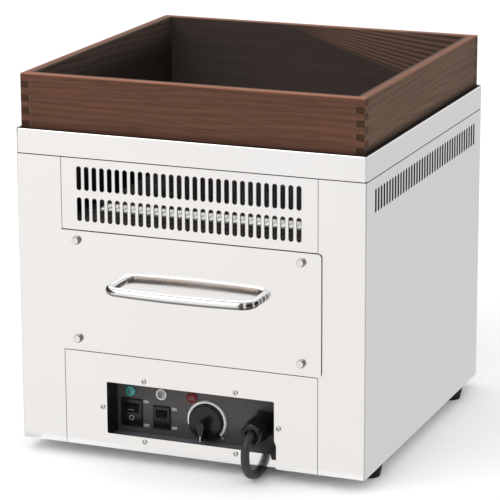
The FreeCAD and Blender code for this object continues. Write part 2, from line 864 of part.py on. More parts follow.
def make_rail():
    """Right-hand rail: a channel on the chamber wall, open to the drawer, with a stop in front."""
    low = chamber_floor + rail_rise
    high = low + 2 * rail_sheet + rail_slot
    near, far = chamber_front + rail_front_gap, chamber_rear
    mouth = chamber_half - rail_width
    channel = block(mouth, chamber_half, near, far, low, high)
    slot = block(
        mouth - 1, chamber_half - rail_sheet, near - 1, far + 1, low + rail_sheet, high - rail_sheet
    )
    tip = chamber_half - pan_side_gap + rail_sheet + stop_reach - stop_lap
    stop_low = high - rail_sheet
    stop = block(
        tip, mouth + rail_sheet, near, near + rail_sheet, stop_low, stop_low + stop_height
    )
    return joined([channel.cut(slot), stop])


def make_runner():
    """Right-hand runner: an angle on the pan's side whose flange slides in the rail."""
    side = chamber_half - pan_side_gap
    level = rail_level() + (rail_slot - runner_thickness) / 2
    edge = chamber_half - rail_sheet - runner_reach_gap
    flange = block(side, edge, pan_front, pan_rear, level, level + runner_thickness)
    half = runner_height / 2
    web = block(side, side + rail_sheet, pan_front, pan_rear, level - half, level + half)
    stop_near = chamber_front + rail_front_gap + rail_sheet + stop_gap + drawer_travel
    stop_top = rail_level() + rail_slot + stop_height
    stop = block(
        side, side + rail_sheet + stop_reach, stop_near, stop_near + rail_sheet, level, stop_top
    )
    return joined([flange, web, stop])


# ---------------------------------------------------------------- drawer
def bolt_places():
    """The four drawer bolts as (x, z)."""
    x = drawer_front_half - bolt_inset_x
    levels = (drawer_front_bottom + bolt_inset_bottom, drawer_front_top - bolt_inset_top)
    return [(side * x, z) for side in (-1, 1) for z in levels]


def handle_height():
    return drawer_front_top - handle_drop


def make_drawer_front():
    """Outer front plate with rounded corners, bolt holes and handle holes."""
    half = drawer_front_half
    plate = block(-half, half, drawer_face, drawer_back, drawer_front_bottom, drawer_front_top)
    ends = [e for e in plate.Edges if abs(e.Vertexes[0].Y - e.Vertexes[-1].Y) > drawer_front_sheet / 2]
    plate = plate.makeFillet(drawer_front_corner, ends)
    places = [(x, z, bolt_diameter + screw_play) for x, z in bolt_places()]
    for side in (-1, 1):
        places.append((side * handle_span / 2, handle_height(), handle_screw + screw_play))
    holes = [rod((x, drawer_face - 1, z), (x, drawer_back + 1, z), size) for x, z, size in places]
    return cut(plate, holes)


def make_handle():
    """Bent round bar whose two legs stand on the drawer front."""
    half, z = handle_span / 2, handle_height()
    reach = drawer_face - handle_reach
    route = [(-half, drawer_face, z), (-half, reach, z), (half, reach, z), (half, drawer_face, z)]
    return round_tube(route, [handle_bend] * 2, handle_rod)


def make_handle_screws():
    """Screws from behind the drawer front into the handle's legs."""
    head, shank, lift = handle_screw_head / 2, handle_screw / 2, handle_screw_head_height
    sink = drawer_front_sheet
    profile = [(0, -sink), (shank, -sink), (shank, 0), (head, 0), (head, lift / 2)]
    profile += [(head / 2, lift), (0, lift)]
    return [turned(profile, (side * handle_span / 2, drawer_back, handle_height())) for side in (-1, 1)]


def make_spacers():
    """Sleeves that hold the outer front plate off the hot inner one."""
    sleeves = []
    for x, z in bolt_places():
        near, far = drawer_back, inner_front_face
        body = rod((x, near, z), (x, far, z), spacer_diameter)
        sleeves.append(body.cut(rod((x, near - 1, z), (x, far + 1, z), bolt_diameter + screw_play)))
    return sleeves


def make_drawer_bolts():
    """Hexagon bolts with washers and nuts through both drawer fronts."""
    bolts = []
    for x, z in bolt_places():
        seat = drawer_face - bolt_washer_thickness
        end = inner_front_face + drawer_pan_sheet + bolt_nut_height
        head = hexagon((x, seat, z), V(0, -1, 0), bolt_head_width, bolt_head_height)
        corner = bolt_head_width / math.sqrt(3)
        crown = [
            (0, 0), (corner, 0), (corner, bolt_bevel_height - bolt_head_height),
            (corner - bolt_bevel, -bolt_head_height), (0, -bolt_head_height),
        ]
        head = head.common(turned(crown, (x, seat, z)))
        washer = rod((x, seat, z), (x, drawer_face, z), bolt_washer)
        shank = rod((x, seat, z), (x, end, z), bolt_diameter)
        nut = hexagon((x, end - bolt_nut_height, z), Y_AXIS, bolt_head_width, bolt_nut_height)
        bolts.append(joined([head, washer, shank, nut]))
    return bolts


def make_inner_front():
    """Inner front plate of the drawer, in the mouth of the chamber."""
    half = chamber_half - inner_front_side_gap
    low, high = chamber_floor + inner_front_rise, chamber_roof - inner_front_drop
    near = inner_front_face
    plate = block(-half, half, near, near + drawer_pan_sheet, low, high)
    hole = bolt_diameter + screw_play
    return cut(plate, [rod((x, near - 1, z), (x, near + 2, z), hole) for x, z in bolt_places()])


def pan_box():
    """Outside of the drawer pan: half width, front, rear, bottom and top."""
    return (
        chamber_half - pan_side_gap,
        pan_front,
        pan_rear,
        chamber_floor + drawer_pan_rise,
        chamber_floor + drawer_pan_rise + drawer_pan_height,
    )


def make_drawer_pan():
    """Open-topped sheet pan welded behind the inner front."""
    half, near, far, low, high = pan_box()
    wall = drawer_pan_sheet
    pan = block(-half, half, near, far, low, high)
    return pan.cut(block(-half + wall, half - wall, near + wall, far - wall, low + wall, high + wall))


def make_drip_tray():
    """Shallow loose tray on the pan's floor, under the rack."""
    half, near, far, low, _ = pan_box()
    wall, gap = tray_sheet, drawer_pan_sheet + tray_side_gap
    x, y0, y1 = half - gap, near + gap, far - gap
    bottom = low + drawer_pan_sheet
    tray = block(-x, x, y0, y1, bottom, bottom + tray_height)
    return tray.cut(block(-x + wall, x - wall, y0 + wall, y1 - wall, bottom + wall, bottom + tray_height + 1))


def make_rack():
    """Wire rack: cross wires welded on two upright side bars."""
    half, near, far, low, _ = pan_box()
    x = half - drawer_pan_sheet - rack_wall_gap
    y0, y1 = near + drawer_pan_sheet + rack_end_gap, far - drawer_pan_sheet - rack_end_gap
    bottom = low + drawer_pan_sheet
    top = bottom + rack_height
    bars = [
        block(min(s * x, s * (x - rack_bar)), max(s * x, s * (x - rack_bar)), y0, y1, bottom, top)
        for s in (-1, 1)
    ]
    wires = []
    step = (y1 - y0 - 2 * rack_end_gap) / (rack_wire_count - 1)
    for i in range(rack_wire_count):
        y = y0 + rack_end_gap + i * step
        wires.append(rod((-x, y, top), (x, y, top), rack_wire))
    return joined(bars + wires)


# ---------------------------------------------------------------- control recess
def make_housing():
    """Open-fronted box behind the lower panel, flanged at the front and inwards at the back."""
    wall = housing_sheet
    inner_x = recess_half + housing_side_gap
    low, high = recess_bottom - housing_floor_drop, recess_top + housing_top_gap
    near, back = front + sheet, plate_back + wall
    box_shape = block(-inner_x - wall, inner_x + wall, near, back, low - wall, high + wall)
    flange_low = recess_bottom - housing_flange
    flange = block(
        -inner_x - housing_flange, inner_x + housing_flange, near, near + wall,
        flange_low, high + housing_flange,
    )
    hollow = block(-inner_x, inner_x, near - 1, plate_back, low, high)
    inset = housing_back_flange
    window = block(-inner_x + inset, inner_x - inset, plate_back - 1, back + 1, low + inset, high - inset)
    notch = cord_notch(housing_notch_margin, housing_notch_depth, low + 1)
    hole = panel_screw + screw_play
    reach = near + wall + 2 * sheet
    screws = [rod((x, near - 1, z), (x, reach, z), hole) for x, z in panel_screw_places()]
    return joined([box_shape, flange]).cut([hollow, window, notch] + screws)


def switch_body_half(bezel):
    return bezel[0] / 2 - switch_body_margin, bezel[1] / 2 - switch_body_margin


def make_control_plate():
    """Plate at the back of the recess, cut for the switches, lamps, timer and gland."""
    low, high = recess_bottom - housing_floor_drop, recess_top + housing_top_gap
    half = recess_half + housing_side_gap - plate_gap
    plate = block(-half, half, plate_face, plate_back, low + plate_gap, high - plate_gap)
    tools = []
    for place, bezel in ((main_switch_place, main_bezel), (buzzer_switch_place, buzzer_bezel)):
        x, _, z = on_plate(place)
        half_x, half_z = (size + switch_cut_gap for size in switch_body_half(bezel))
        tools.append(block(x - half_x, x + half_x, plate_face - 1, plate_back + 1, z - half_z, z + half_z))
    round_holes = [(place, lamp_barrel_diameter + 2 * lamp_cut_gap) for place in lamp_places.values()]
    round_holes += [(timer_place, timer_bush_diameter + screw_play), (gland_place, gland_thread + screw_play)]
    for place, diameter in round_holes:
        tools.append(rod(on_plate(place, -1), on_plate(place, plate_thickness + 1), diameter))
    return cut(plate, tools)


def make_switch_housing(place, bezel, rocker):
    """Switch frame: bezel on the plate and a body behind it with a pocket for the rocker."""
    x, _, z = on_plate(place)
    frame_face = plate_face - bezel_thickness
    frame = block(
        x - bezel[0] / 2, x + bezel[0] / 2, frame_face, plate_face, z - bezel[1] / 2, z + bezel[1] / 2
    )
    rim = [e for e in frame.Edges if all(abs(v.Y - frame_face) < 1e-6 for v in e.Vertexes)]
    frame = frame.makeChamfer(bezel_thickness / 3, rim)
    half_x, half_z = switch_body_half(bezel)
    body = block(x - half_x, x + half_x, plate_face, plate_face + switch_body_depth, z - half_z, z + half_z)
    pocket_x, pocket_z = rocker[0] / 2 + rocker_gap, rocker[1] / 2 + rocker_gap
    pocket_end = frame_face + rocker_pivot_depth + rocker[1] / 2 + rocker_gap
    pocket = block(x - pocket_x, x + pocket_x, frame_face - 1, pocket_end, z - pocket_z, z + pocket_z)
    reach = rocker[0] / 2 + rocker_gap + rocker_pin_length
    axis_y = frame_face + rocker_pivot_depth
    pin_hole = rod((x - reach, axis_y, z), (x + reach, axis_y, z), rocker_pin + 2 * rocker_pin_gap)
    return joined([frame, body]).cut([pocket, pin_hole])


def make_rocker(place, rocker):
    """Rocker with two flat halves and round ends about its pivot, standing at off."""
    x, _, z = on_plate(place)
    axis_y = plate_face - bezel_thickness + rocker_pivot_depth
    radius = rocker[1] / 2
    slope = math.tan(math.radians(rocker_throw / 2))
    crest = rocker_pivot_depth - radius * slope * rocker_crest
    points = [
        V(0, -crest, 0),
        V(0, -crest - radius * slope, radius),
        V(0, rocker_depth, radius),
        V(0, rocker_depth, -radius),
        V(0, -crest - radius * slope, -radius),
    ]
    half = rocker[0] / 2
    body = Part.Face(Part.makePolygon(points + points[:1])).extrude(V(rocker[0], 0, 0))
    body.translate(V(-half, 0, 0))
    body = body.common(Part.makeCylinder(radius, rocker[0], V(-half, 0, 0), X_AXIS))
    reach = half + rocker_gap + rocker_pin_length - rocker_pin_gap
    body = joined([body, Part.makeCylinder(rocker_pin / 2, 2 * reach, V(-reach, 0, 0), X_AXIS)])
    body.rotate(V(0, 0, 0), X_AXIS, rocker_throw / 2)
    body.translate(V(x, axis_y, z))
    return body


def make_lamp_bezels():
    """Round lamp frames with barrels through the plate."""
    lens, rim, face = lamp_lens_diameter / 2, lamp_diameter / 2, -lamp_bezel_thickness
    barrel, bore = lamp_barrel_diameter / 2, lamp_barrel_diameter / 2 - lamp_wall
    end, floor = lamp_barrel_length, lamp_barrel_length - lamp_wall
    profile = [
        (lens, face), (rim - lamp_edge, face), (rim, face + lamp_edge), (rim, 0), (barrel, 0),
        (barrel, end), (0, end), (0, floor), (bore, floor), (bore, 0), (lens, -lamp_wall / 2),
    ]
    return [turned(profile, on_plate(place)) for place in lamp_places.values()]


def make_lens(place):
    """Domed lamp lens seated in its bezel."""
    lens, bore = lamp_lens_diameter / 2, lamp_barrel_diameter / 2 - lamp_wall
    face, crown = -lamp_bezel_thickness, -lamp_bezel_thickness - lamp_dome_height
    points = [V(0, crown, 0), V(lens, face, 0)]
    sphere = (lens**2 + lamp_dome_height**2) / (2 * lamp_dome_height)
    half_angle = math.asin(lens / sphere) / 2
    on_dome = V(sphere * math.sin(half_angle), crown + sphere * (1 - math.cos(half_angle)), 0)
    edges = [Part.Arc(points[0], on_dome, points[1]).toShape()]
    points += [V(lens, -lamp_wall / 2, 0), V(bore, 0, 0), V(bore, lens_foot, 0), V(0, lens_foot, 0)]
    for start, end in zip(points[1:], points[2:] + points[:1]):
        edges.append(Part.LineSegment(start, end).toShape())
    solid = Part.Face(Part.Wire(edges)).revolve(V(0, 0, 0), Y_AXIS, 360)
    solid.translate(V(*on_plate(place)))
    return solid


def make_timer_unit():
    """Timer body behind the plate, with its bush and the hole for the shaft."""
    x, _, z = on_plate(timer_place)
    half, near = timer_body / 2, plate_back + housing_sheet
    body = block(x - half, x + half, near, near + timer_body_depth, z - half, z + half)
    bush = rod(on_plate(timer_place), (x, near + 1, z), timer_bush_diameter)
    bore = timer_shaft_diameter + 2 * timer_shaft_play
    hole = rod(on_plate(timer_place, -1), on_plate(timer_place, timer_shaft_end()), bore)
    return joined([body, bush]).cut(hole)


def timer_shaft_end():
    """Depth of the timer's shaft hole behind the control plate's face."""
    return plate_thickness + timer_body_depth * timer_shaft_hold


def make_timer_shaft():
    near = on_plate(timer_place, -knob_gap - timer_shaft_seat)
    far = on_plate(timer_place, timer_shaft_end() - knob_gap)
    return rod(near, far, timer_shaft_diameter)


def make_timer_ring():
    """Bright dial ring round the knob."""
    outer, inner = timer_ring_diameter / 2, timer_ring_diameter / 2 - timer_ring_width
    shoulder, lift = -timer_ring_height * ring_shoulder, -timer_ring_height
    slope = timer_ring_width * (1 - ring_crown) / 2
    profile = [
        (inner, 0), (inner, shoulder), (inner + slope, lift),
        (outer - slope, lift), (outer, shoulder), (outer, 0),
    ]
    return turned(profile, on_plate(timer_place))


def grip_outline(shrink, depth):
    """Pear-shaped outline of the knob's grip: a round end on the axis and a tip pointing down."""
    big, small = knob_grip / 2 - shrink, knob_pointer / 2 - shrink
    reach = knob_diameter / 2 - knob_pointer_margin - knob_pointer / 2
    lean = math.asin((big - small) / reach)
    side_x, side_z = math.cos(lean), -math.sin(lean)

    def at(side, radius, drop):
        return V(side * side_x * radius, depth, side_z * radius - drop)

    edges = [
        Part.Arc(at(-1, big, 0), V(0, depth, big), at(1, big, 0)),
        Part.LineSegment(at(1, big, 0), at(1, small, reach)),
        Part.Arc(at(1, small, reach), V(0, depth, -reach - small), at(-1, small, reach)),
        Part.LineSegment(at(-1, small, reach), at(-1, big, 0)),
    ]
    return Part.Wire([edge.toShape() for edge in edges])


def make_knob():
    """Timer knob: round skirt with a tapered pointer grip, pointing down at off."""
    skirt = Part.makeCylinder(knob_diameter / 2, knob_skirt, V(0, 0, 0), V(0, -1, 0))
    rim = [e for e in skirt.Edges if e.BoundBox.YMax < knob_edge - knob_skirt]
    skirt = skirt.makeFillet(knob_edge, rim)
    root, face = grip_outline(0.0, -knob_skirt / 2), grip_outline(knob_draft, -knob_height)
    grip = Part.makeLoft([root, face], True, True)
    socket = Part.makeCylinder(timer_shaft_diameter / 2, timer_shaft_seat, V(0, 0, 0), V(0, -1, 0))
    body = joined([skirt, grip]).cut(socket)
    body.translate(V(*on_plate(timer_place, -knob_gap)))
    return body


def make_gland_body():
    """Hexagonal gland flange on the plate, its thread through the plate and the nut behind."""
    flange = hexagon(on_plate(gland_place), V(0, -1, 0), gland_flange_width, gland_flange_thickness)
    far = plate_thickness + gland_back_nut_thickness
    thread = rod(on_plate(gland_place), on_plate(gland_place, far + gland_thread_end), gland_thread)
    nut = hexagon(on_plate(gland_place, plate_thickness), Y_AXIS, gland_back_nut, gland_back_nut_thickness)
    return joined([flange, thread, nut])


def make_gland_nut():
    """Domed gland nut: fluted grip, a taper to its rounded end and the mouth for the cord."""
    near, shoulder = gland_flange_thickness, gland_flange_thickness + gland_nut_length
    turn, end, mouth = gland_nut_diameter / 2, gland_end_diameter / 2, gland_mouth_diameter / 2
    round_start = gland_length - gland_end_round
    seat = gland_length - gland_mouth_depth
    profile = [
        (0, -near), (turn, -near), (turn, -shoulder), (end, -round_start),
        (end - gland_end_round, -gland_length), (mouth, -gland_length), (mouth, -seat), (0, -seat),
    ]
    nut = turned(profile, on_plate(gland_place))
    x, _, z = on_plate(gland_place)
    start, stop = plate_face - shoulder + gland_flute, plate_face - near - gland_flute
    flutes = []
    for i in range(gland_flute_count):
        angle = 2 * math.pi * (i + 0.5) / gland_flute_count
        flute_x = x + (turn + gland_flute / 4) * math.cos(angle)
        flute_z = z + (turn + gland_flute / 4) * math.sin(angle)
        flutes.append(rod((flute_x, start, flute_z), (flute_x, stop, flute_z), gland_flute))
    return nut.cut(flutes)


# ---------------------------------------------------------------- pieces inside the base
def make_terminal_block():
    """Moulded block with three clamp ways."""
    length, depth, height = terminal_block_size
    x, y = terminal_block_place[0], rear - terminal_block_place[1]
    low = body_bottom + sheet
    top = low + height
    body = block(x - length / 2, x + length / 2, y - depth / 2, y + depth / 2, low, top)
    half_x, half_y, deep = terminal_way[0] / 2, terminal_way[1] / 2, terminal_way[2]
    ways = []
    for centre in (x - length / 3, x, x + length / 3):
        ways.append(
            block(centre - half_x, centre + half_x, y - half_y, y + half_y, top - deep, top + 1)
        )
    return cut(body, ways)


def make_buzzer():
    """Round warning buzzer on the base pan, with its sound hole."""
    x, y = buzzer_place[0], front + buzzer_place[1]
    low = body_bottom + sheet
    top = low + buzzer_height
    body = rod((x, y, low), (x, y, top), buzzer_diameter)
    return body.cut(rod((x, y, top - buzzer_hole_depth), (x, y, top + 1), buzzer_hole))


def make_thermostat():
    """Disc thermostat on the outside of the chamber's rear wall."""
    near = chamber_rear + chamber_sheet
    z = chamber_roof - thermostat_drop
    width, thick, height = thermostat_base
    base = block(-width / 2, width / 2, near, near + thick, z - height / 2, z + height / 2)
    disc = rod((0, near, z), (0, near + thermostat_height, z), thermostat_diameter)
    return joined([base, disc])


# ---------------------------------------------------------------- cord
def cord_exit():
    """Where the cord leaves the seat in the gland's mouth."""
    return on_plate(gland_place, gland_mouth_depth - gland_length)


def cord_points():
    """Route of the cord from the gland, down and back under the body to the coil."""
    x, y, z = cord_exit()
    lie = cord_diameter / 2
    coil_x, coil_y = coil_place[0], rear + coil_place[1]
    outer_turn = coil_turn_radius + (coil_columns - 1) / 2 * cord_diameter
    return [
        (x, y, z),
        (x, y - 11, z),
        (x, y - 21, z - 10.5),
        (x, y - 21, z - 28),
        (x, y - 11, lie + 6.25),
        (x, y + 9, lie),
        (x - 2, y + 42, lie),
        (x - 9, y + 104, lie),
        (x - 15, y + 194, lie),
        (x - 14, y + 294, lie),
        (x - 8, y + 364, lie),
        (x - 3.5, y + 413, lie),
        (coil_x + outer_turn, coil_y - 29, lie),
    ]


def bend_radii(points):
    """At each inner point, 0.45 of the shorter run over the tangent of half the turn."""
    radii = []
    for before, corner, after in zip(points, points[1:], points[2:]):
        back, ahead = V(*corner) - V(*before), V(*after) - V(*corner)
        half = back.getAngle(ahead) / 2
        radii.append(0.45 * min(back.Length, ahead.Length) / math.tan(half))
    return radii


def plug_tail_points():
    """The last stretch, from the coil's upper turns down to the plug beside it."""
    coil_x, coil_y = coil_place[0], rear + coil_place[1]
    outer_turn = coil_turn_radius + (coil_columns - 1) / 2 * cord_diameter
    lie = cord_diameter / 2
    points = []
    for degrees, extra, height in (
        (112, 7.0, lie + 7.5),
        (130, 13.0, lie + 4.8),
        (148, 19.5, lie + 2.8),
        (166, 26.0, plug_relief_diameter / 2 + 0.1),
    ):
        angle, radius = math.radians(degrees), outer_turn + extra
        points.append((coil_x + radius * math.cos(angle), coil_y + radius * math.sin(angle), height))
    return points


def plug_frame():
    """Start of the plug's relief and its heading on the table."""
    start, before = plug_tail_points()[-1], plug_tail_points()[-2]
    heading = V(start[0] - before[0], start[1] - before[1], 0).normalize()
    return V(*start), heading


def make_power_cord():
    """The cord's free stretches as plain tubes."""
    tubes = []
    for name, points in (("cord to coil", cord_points()), ("coil to plug", plug_tail_points())):
        radii = bend_radii(points)
        tube = round_tube(points, radii, cord_diameter)
        length = rounded_route(points, radii).Length
        section = math.pi * cord_diameter**2 / 4
        print(name, "length", round(length, 1), "radii", [round(r, 1) for r in radii])
        print("  volume over section times length:", round(tube.Volume / (section * length), 5))
        tubes.append(tube)
    return tubes


def make_cord_coil():
    """Outer shape of the wound cord: a ring with a rounded oblong section."""
    x, y = coil_place[0], rear + coil_place[1]
    half = coil_columns * cord_diameter / 2
    height = coil_rows * cord_diameter
    inner, outer = coil_turn_radius - half, coil_turn_radius + half
    c = coil_corner
    points = [
        (inner + c, 0), (outer - c, 0), (outer, c), (outer, height - c),
        (outer - c, height), (inner + c, height), (inner, height - c), (inner, c),
    ]
    outline = [V(r, 0, z) for r, z in points]
    ring = Part.Face(Part.makePolygon(outline + outline[:1])).revolve(V(0, 0, 0), Z_AXIS, 360)
    ring.translate(V(x, y, 0))
    return ring


def aligned(shape):
    """Turn a piece made along -Y about the origin to the plug's heading and place."""
    start, heading = plug_frame()
    angle = math.degrees(math.atan2(heading.y, heading.x)) + 90
    shape.rotate(V(0, 0, 0), Z_AXIS, angle)
    shape.translate(V(start.x, start.y, 0))
    return shape


def make_plug():
    """Moulded two-pin plug with its tapered relief, lying on the table."""
    height = plug_height / 2
    level = plug_tail_points()[-1][2]
    thin, thick = cord_diameter / 2 + plug_relief_wall, plug_relief_diameter / 2
    relief = Part.makeCone(thin, thick, plug_relief_length, V(0, 0, level), V(0, -1, 0))
    half, near = plug_width / 2, -plug_relief_length
    body = block(-half, half, near - plug_length, near, 0, plug_height)
    upright = [e for e in body.Edges if abs(e.Vertexes[0].Z - e.Vertexes[-1].Z) > height]
    body = body.makeFillet(plug_corner, [e for e in upright if abs(e.Vertexes[0].Y - near) < 1e-6])
    return aligned(joined([body, relief]))


def make_plug_pins():
    """Two flat blades."""
    width, thick, length = pin_size
    near = -plug_relief_length - plug_length
    low, high = (plug_height - width) / 2, (plug_height + width) / 2
    pins = []
    for x in (-pin_spacing / 2, pin_spacing / 2):
        pins.append(aligned(block(x - thick / 2, x + thick / 2, near - length, near, low, high)))
    return pins


# ---------------------------------------------------------------- all nodes
def make_nodes():
    right_panel, left_panel = both_sides(make_side_panel())
    nodes = {
        "base_pan": make_base_pan(),
        "foot_nuts": make_foot_nuts(),
        "right_side_panel": right_panel,
        "left_side_panel": left_panel,
        "rear_panel": make_rear_panel(),
        "rear_panel_screws": make_rear_screws(),
        "upper_vent_panel": make_upper_panel(),
        "lower_front_panel": make_lower_panel(),
        "lower_panel_screws": make_panel_screws(),
        "top_collar": make_collar(),
        "warming_plate": make_warming_plate(),
        "roasting_chamber": make_chamber(),
        "chamber_insulation": sleeve(0.0, insulation_thickness),
        "insulation_jacket": sleeve(insulation_thickness, jacket_sheet),
        "chamber_stands": make_stands(),
        "upper_heater": make_heater(heater_heights()["upper"]),
        "lower_heater": make_heater(heater_heights()["lower"]),
        "heater_brackets": make_heater_flanges() + make_heater_clips(),
        "drawer_rails": both_sides(make_rail()),
        "thermostat": make_thermostat(),
        "drawer_front": make_drawer_front(),
        "drawer_spacers": make_spacers(),
        "drawer_bolts": make_drawer_bolts(),
        "drawer_handle": make_handle(),
        "handle_screws": make_handle_screws(),
        "drawer_inner_front": make_inner_front(),
        "drawer_pan": make_drawer_pan(),
        "drawer_runners": both_sides(make_runner()),
        "drip_tray": make_drip_tray(),
        "roasting_rack": make_rack(),
        "control_housing": make_housing(),
        "control_plate": make_control_plate(),
        "main_switch_housing": make_switch_housing(main_switch_place, main_bezel, main_rocker_size),
        "main_switch_rocker": make_rocker(main_switch_place, main_rocker_size),
        "buzzer_switch_housing": make_switch_housing(
            buzzer_switch_place, buzzer_bezel, buzzer_rocker_size
        ),
        "buzzer_switch_rocker": make_rocker(buzzer_switch_place, buzzer_rocker_size),
        "lamp_bezels": make_lamp_bezels(),
        "timer_unit": make_timer_unit(),
        "timer_shaft": make_timer_shaft(),
        "timer_dial_ring": make_timer_ring(),
        "timer_knob": make_knob(),
        "gland_body": make_gland_body(),
        "gland_nut": make_gland_nut(),
        "terminal_block": make_terminal_block(),
        "buzzer": make_buzzer(),
        "power_cord": make_power_cord(),
        "cord_coil": make_cord_coil(),
        "plug_body": make_plug(),
        "plug_pins": make_plug_pins(),
    }
    for (x, y), name in zip(foot_places(), ("front_left", "front_right", "rear_left", "rear_right")):
        nodes["foot_" + name] = make_foot(x, y)
    for name, place in lamp_places.items():
        nodes[name] = make_lens(place)
    nodes.update(make_boards())
    return nodes


def main():
    os.makedirs("parts", exist_ok=True)
    nodes = make_nodes()
    for name, shape in nodes.items():
        if isinstance(shape, (list, tuple)):
            shape = Part.makeCompound(list(shape))
        assert shape.isValid() and shape.Volume > 0, name
        shape.exportStep("parts/" + name + ".step")
    print(len(nodes), "nodes; front", round(front, 3), "rear", round(rear, 3))


main()
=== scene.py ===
"""Looks of the electric roaster: its finishes, cord, screws, marks, floor and lights.

Lengths are in metres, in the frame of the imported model: X to the right side, Y to the rear, Z up.
Each piece and finish is made by one operator; main() calls them in order.
"""

import json
import math

import bmesh
import bpy
import numpy as np
from bpy.props import FloatProperty, FloatVectorProperty, IntProperty, PointerProperty
from mathutils import Matrix, Vector


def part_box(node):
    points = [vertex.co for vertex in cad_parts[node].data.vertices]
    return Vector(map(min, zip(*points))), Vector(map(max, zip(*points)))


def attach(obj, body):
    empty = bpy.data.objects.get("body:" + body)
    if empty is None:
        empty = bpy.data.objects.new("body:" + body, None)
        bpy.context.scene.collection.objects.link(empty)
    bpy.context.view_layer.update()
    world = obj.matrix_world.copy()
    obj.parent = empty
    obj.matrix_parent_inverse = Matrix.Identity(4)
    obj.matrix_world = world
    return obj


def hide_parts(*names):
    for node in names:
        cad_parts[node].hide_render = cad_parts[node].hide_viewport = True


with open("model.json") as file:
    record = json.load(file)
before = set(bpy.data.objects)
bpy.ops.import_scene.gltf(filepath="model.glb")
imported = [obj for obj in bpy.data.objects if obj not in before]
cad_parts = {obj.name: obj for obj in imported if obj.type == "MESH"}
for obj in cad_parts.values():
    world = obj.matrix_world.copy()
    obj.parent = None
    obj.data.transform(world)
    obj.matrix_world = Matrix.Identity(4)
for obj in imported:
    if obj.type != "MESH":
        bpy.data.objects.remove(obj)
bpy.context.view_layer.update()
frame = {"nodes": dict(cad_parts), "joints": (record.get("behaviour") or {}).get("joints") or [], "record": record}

bl_info = {
    "name": "Electric Roaster Looks",
    "version": (1, 0, 0),
    "blender": (4, 5, 0),
    "location": "View3D > Sidebar > Roaster",
    "description": "Finishes, cord, screws, marks and studio of a boxed electric roaster",
    "category": "Object",
}

nodes = frame["nodes"]
joints = {joint["name"]: joint for joint in frame["joints"]}
MM = 0.001


def low(node):
    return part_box(node)[0]


def high(node):
    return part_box(node)[1]


def centre(node):
    return (low(node) + high(node)) / 2


# -------- sizes and colours to change
def size(name, text, default):
    """A length property in metres."""
    return FloatProperty(
        name=name, description=text, default=default, min=0.0, subtype="DISTANCE", unit="LENGTH"
    )


def colour(name, text, default):
    """A linear colour property."""
    return FloatVectorProperty(
        name=name, description=text, default=default, min=0.0, max=1.0, size=3, subtype="COLOR"
    )


class RoasterSizes(bpy.types.PropertyGroup):
    """Sizes that the dressed pieces take."""

    cord_diameter: size("Cord diameter", "Outside diameter of the mains cord", 0.0095)
    cord_length: size("Cord length", "Length from the gland to the plug's relief", 2.03)
    coil_points: IntProperty(
        name="Coil points", description="Control points in each turn of the coil", default=14, min=12
    )
    handle_bow: size("Handle bow", "How far the grip's middle stands out from its ends", 0.004)
    handle_bend: size("Handle bend", "Radius of the handle's two bends", 0.014)
    letter_height: size("Letter height", "Height of the switch captions", 0.0034)
    mark_lift: size("Mark lift", "Thickness of the printed marks", 0.00008)
    recess_width: size("Cross recess width", "Width of a screw's cross recess", 0.0009)


class RoasterColours(bpy.types.PropertyGroup):
    """Colours of the finishes, as linear values."""

    steel: colour("Steel", "Polished sheet of the body", (0.885, 0.868, 0.852))
    satin: colour("Satin steel", "Inner sheet and drawer pan", (0.56, 0.555, 0.545))
    zinc: colour("Zinc", "Plated bolts, screws and brackets", (0.8, 0.79, 0.77))
    chrome: colour("Chrome", "Handle, dial ring and rack", (0.82, 0.825, 0.83))
    wood_dark: colour("Dark grain", "Dark lines of the stained boards", (0.054, 0.0255, 0.0165))
    wood_light: colour("Light grain", "Ground tone of the stained boards", (0.147, 0.067, 0.044))
    wood_worn: colour("Worn edge", "Rubbed edges of the boards", (0.27, 0.115, 0.072))
    plate: colour("Control plate", "Painted control plate", (0.07, 0.062, 0.062))
    recess: colour("Recess", "Painted walls of the control recess", (0.05, 0.05, 0.058))
    print: colour("Print", "White captions and dial marks", (0.8, 0.8, 0.78))
    plastic: colour("Black plastic", "Switches and knob", (0.0075, 0.0072, 0.0072))
    rubber: colour("Rubber", "Feet, cord and plug", (0.011, 0.0108, 0.011))
    floor: colour("Floor", "Studio floor", (0.985, 0.985, 0.985))


def sizes():
    return bpy.context.scene.roaster_sizes


def colours():
    return bpy.context.scene.roaster_colours


# -------- shader sums
def math_node(operation):
    """A method that adds one Math node."""
    return lambda value, *others: value.math(operation, *others)


class Value:
    """A number in a material; sums, products and comparisons on it add Math nodes."""

    def __init__(self, paint, socket):
        self.paint, self.socket = paint, socket

    def math(self, operation, *others):
        node = self.paint.node("ShaderNodeMath", {"operation": operation}, self, *others)
        return Value(self.paint, node.outputs[0])

    __add__ = __radd__ = math_node("ADD")
    __sub__ = math_node("SUBTRACT")
    __mul__ = __rmul__ = math_node("MULTIPLY")
    __truediv__ = math_node("DIVIDE")
    __pow__ = math_node("POWER")
    __gt__ = math_node("GREATER_THAN")
    __lt__ = math_node("LESS_THAN")
    __abs__ = math_node("ABSOLUTE")
    sine = math_node("SINE")
    least = math_node("MINIMUM")
    most = math_node("MAXIMUM")

    def __rsub__(self, other):
        return self * -1.0 + other

    def smooth(self, start, end):
        """0 below start and 1 above end, or the other way round, with a smooth step between."""
        settings = {"interpolation_type": "SMOOTHSTEP"}
        node = self.paint.node("ShaderNodeMapRange", settings, self, min(start, end), max(start, end))
        step = Value(self.paint, node.outputs[0])
        return 1.0 - step if start > end else step


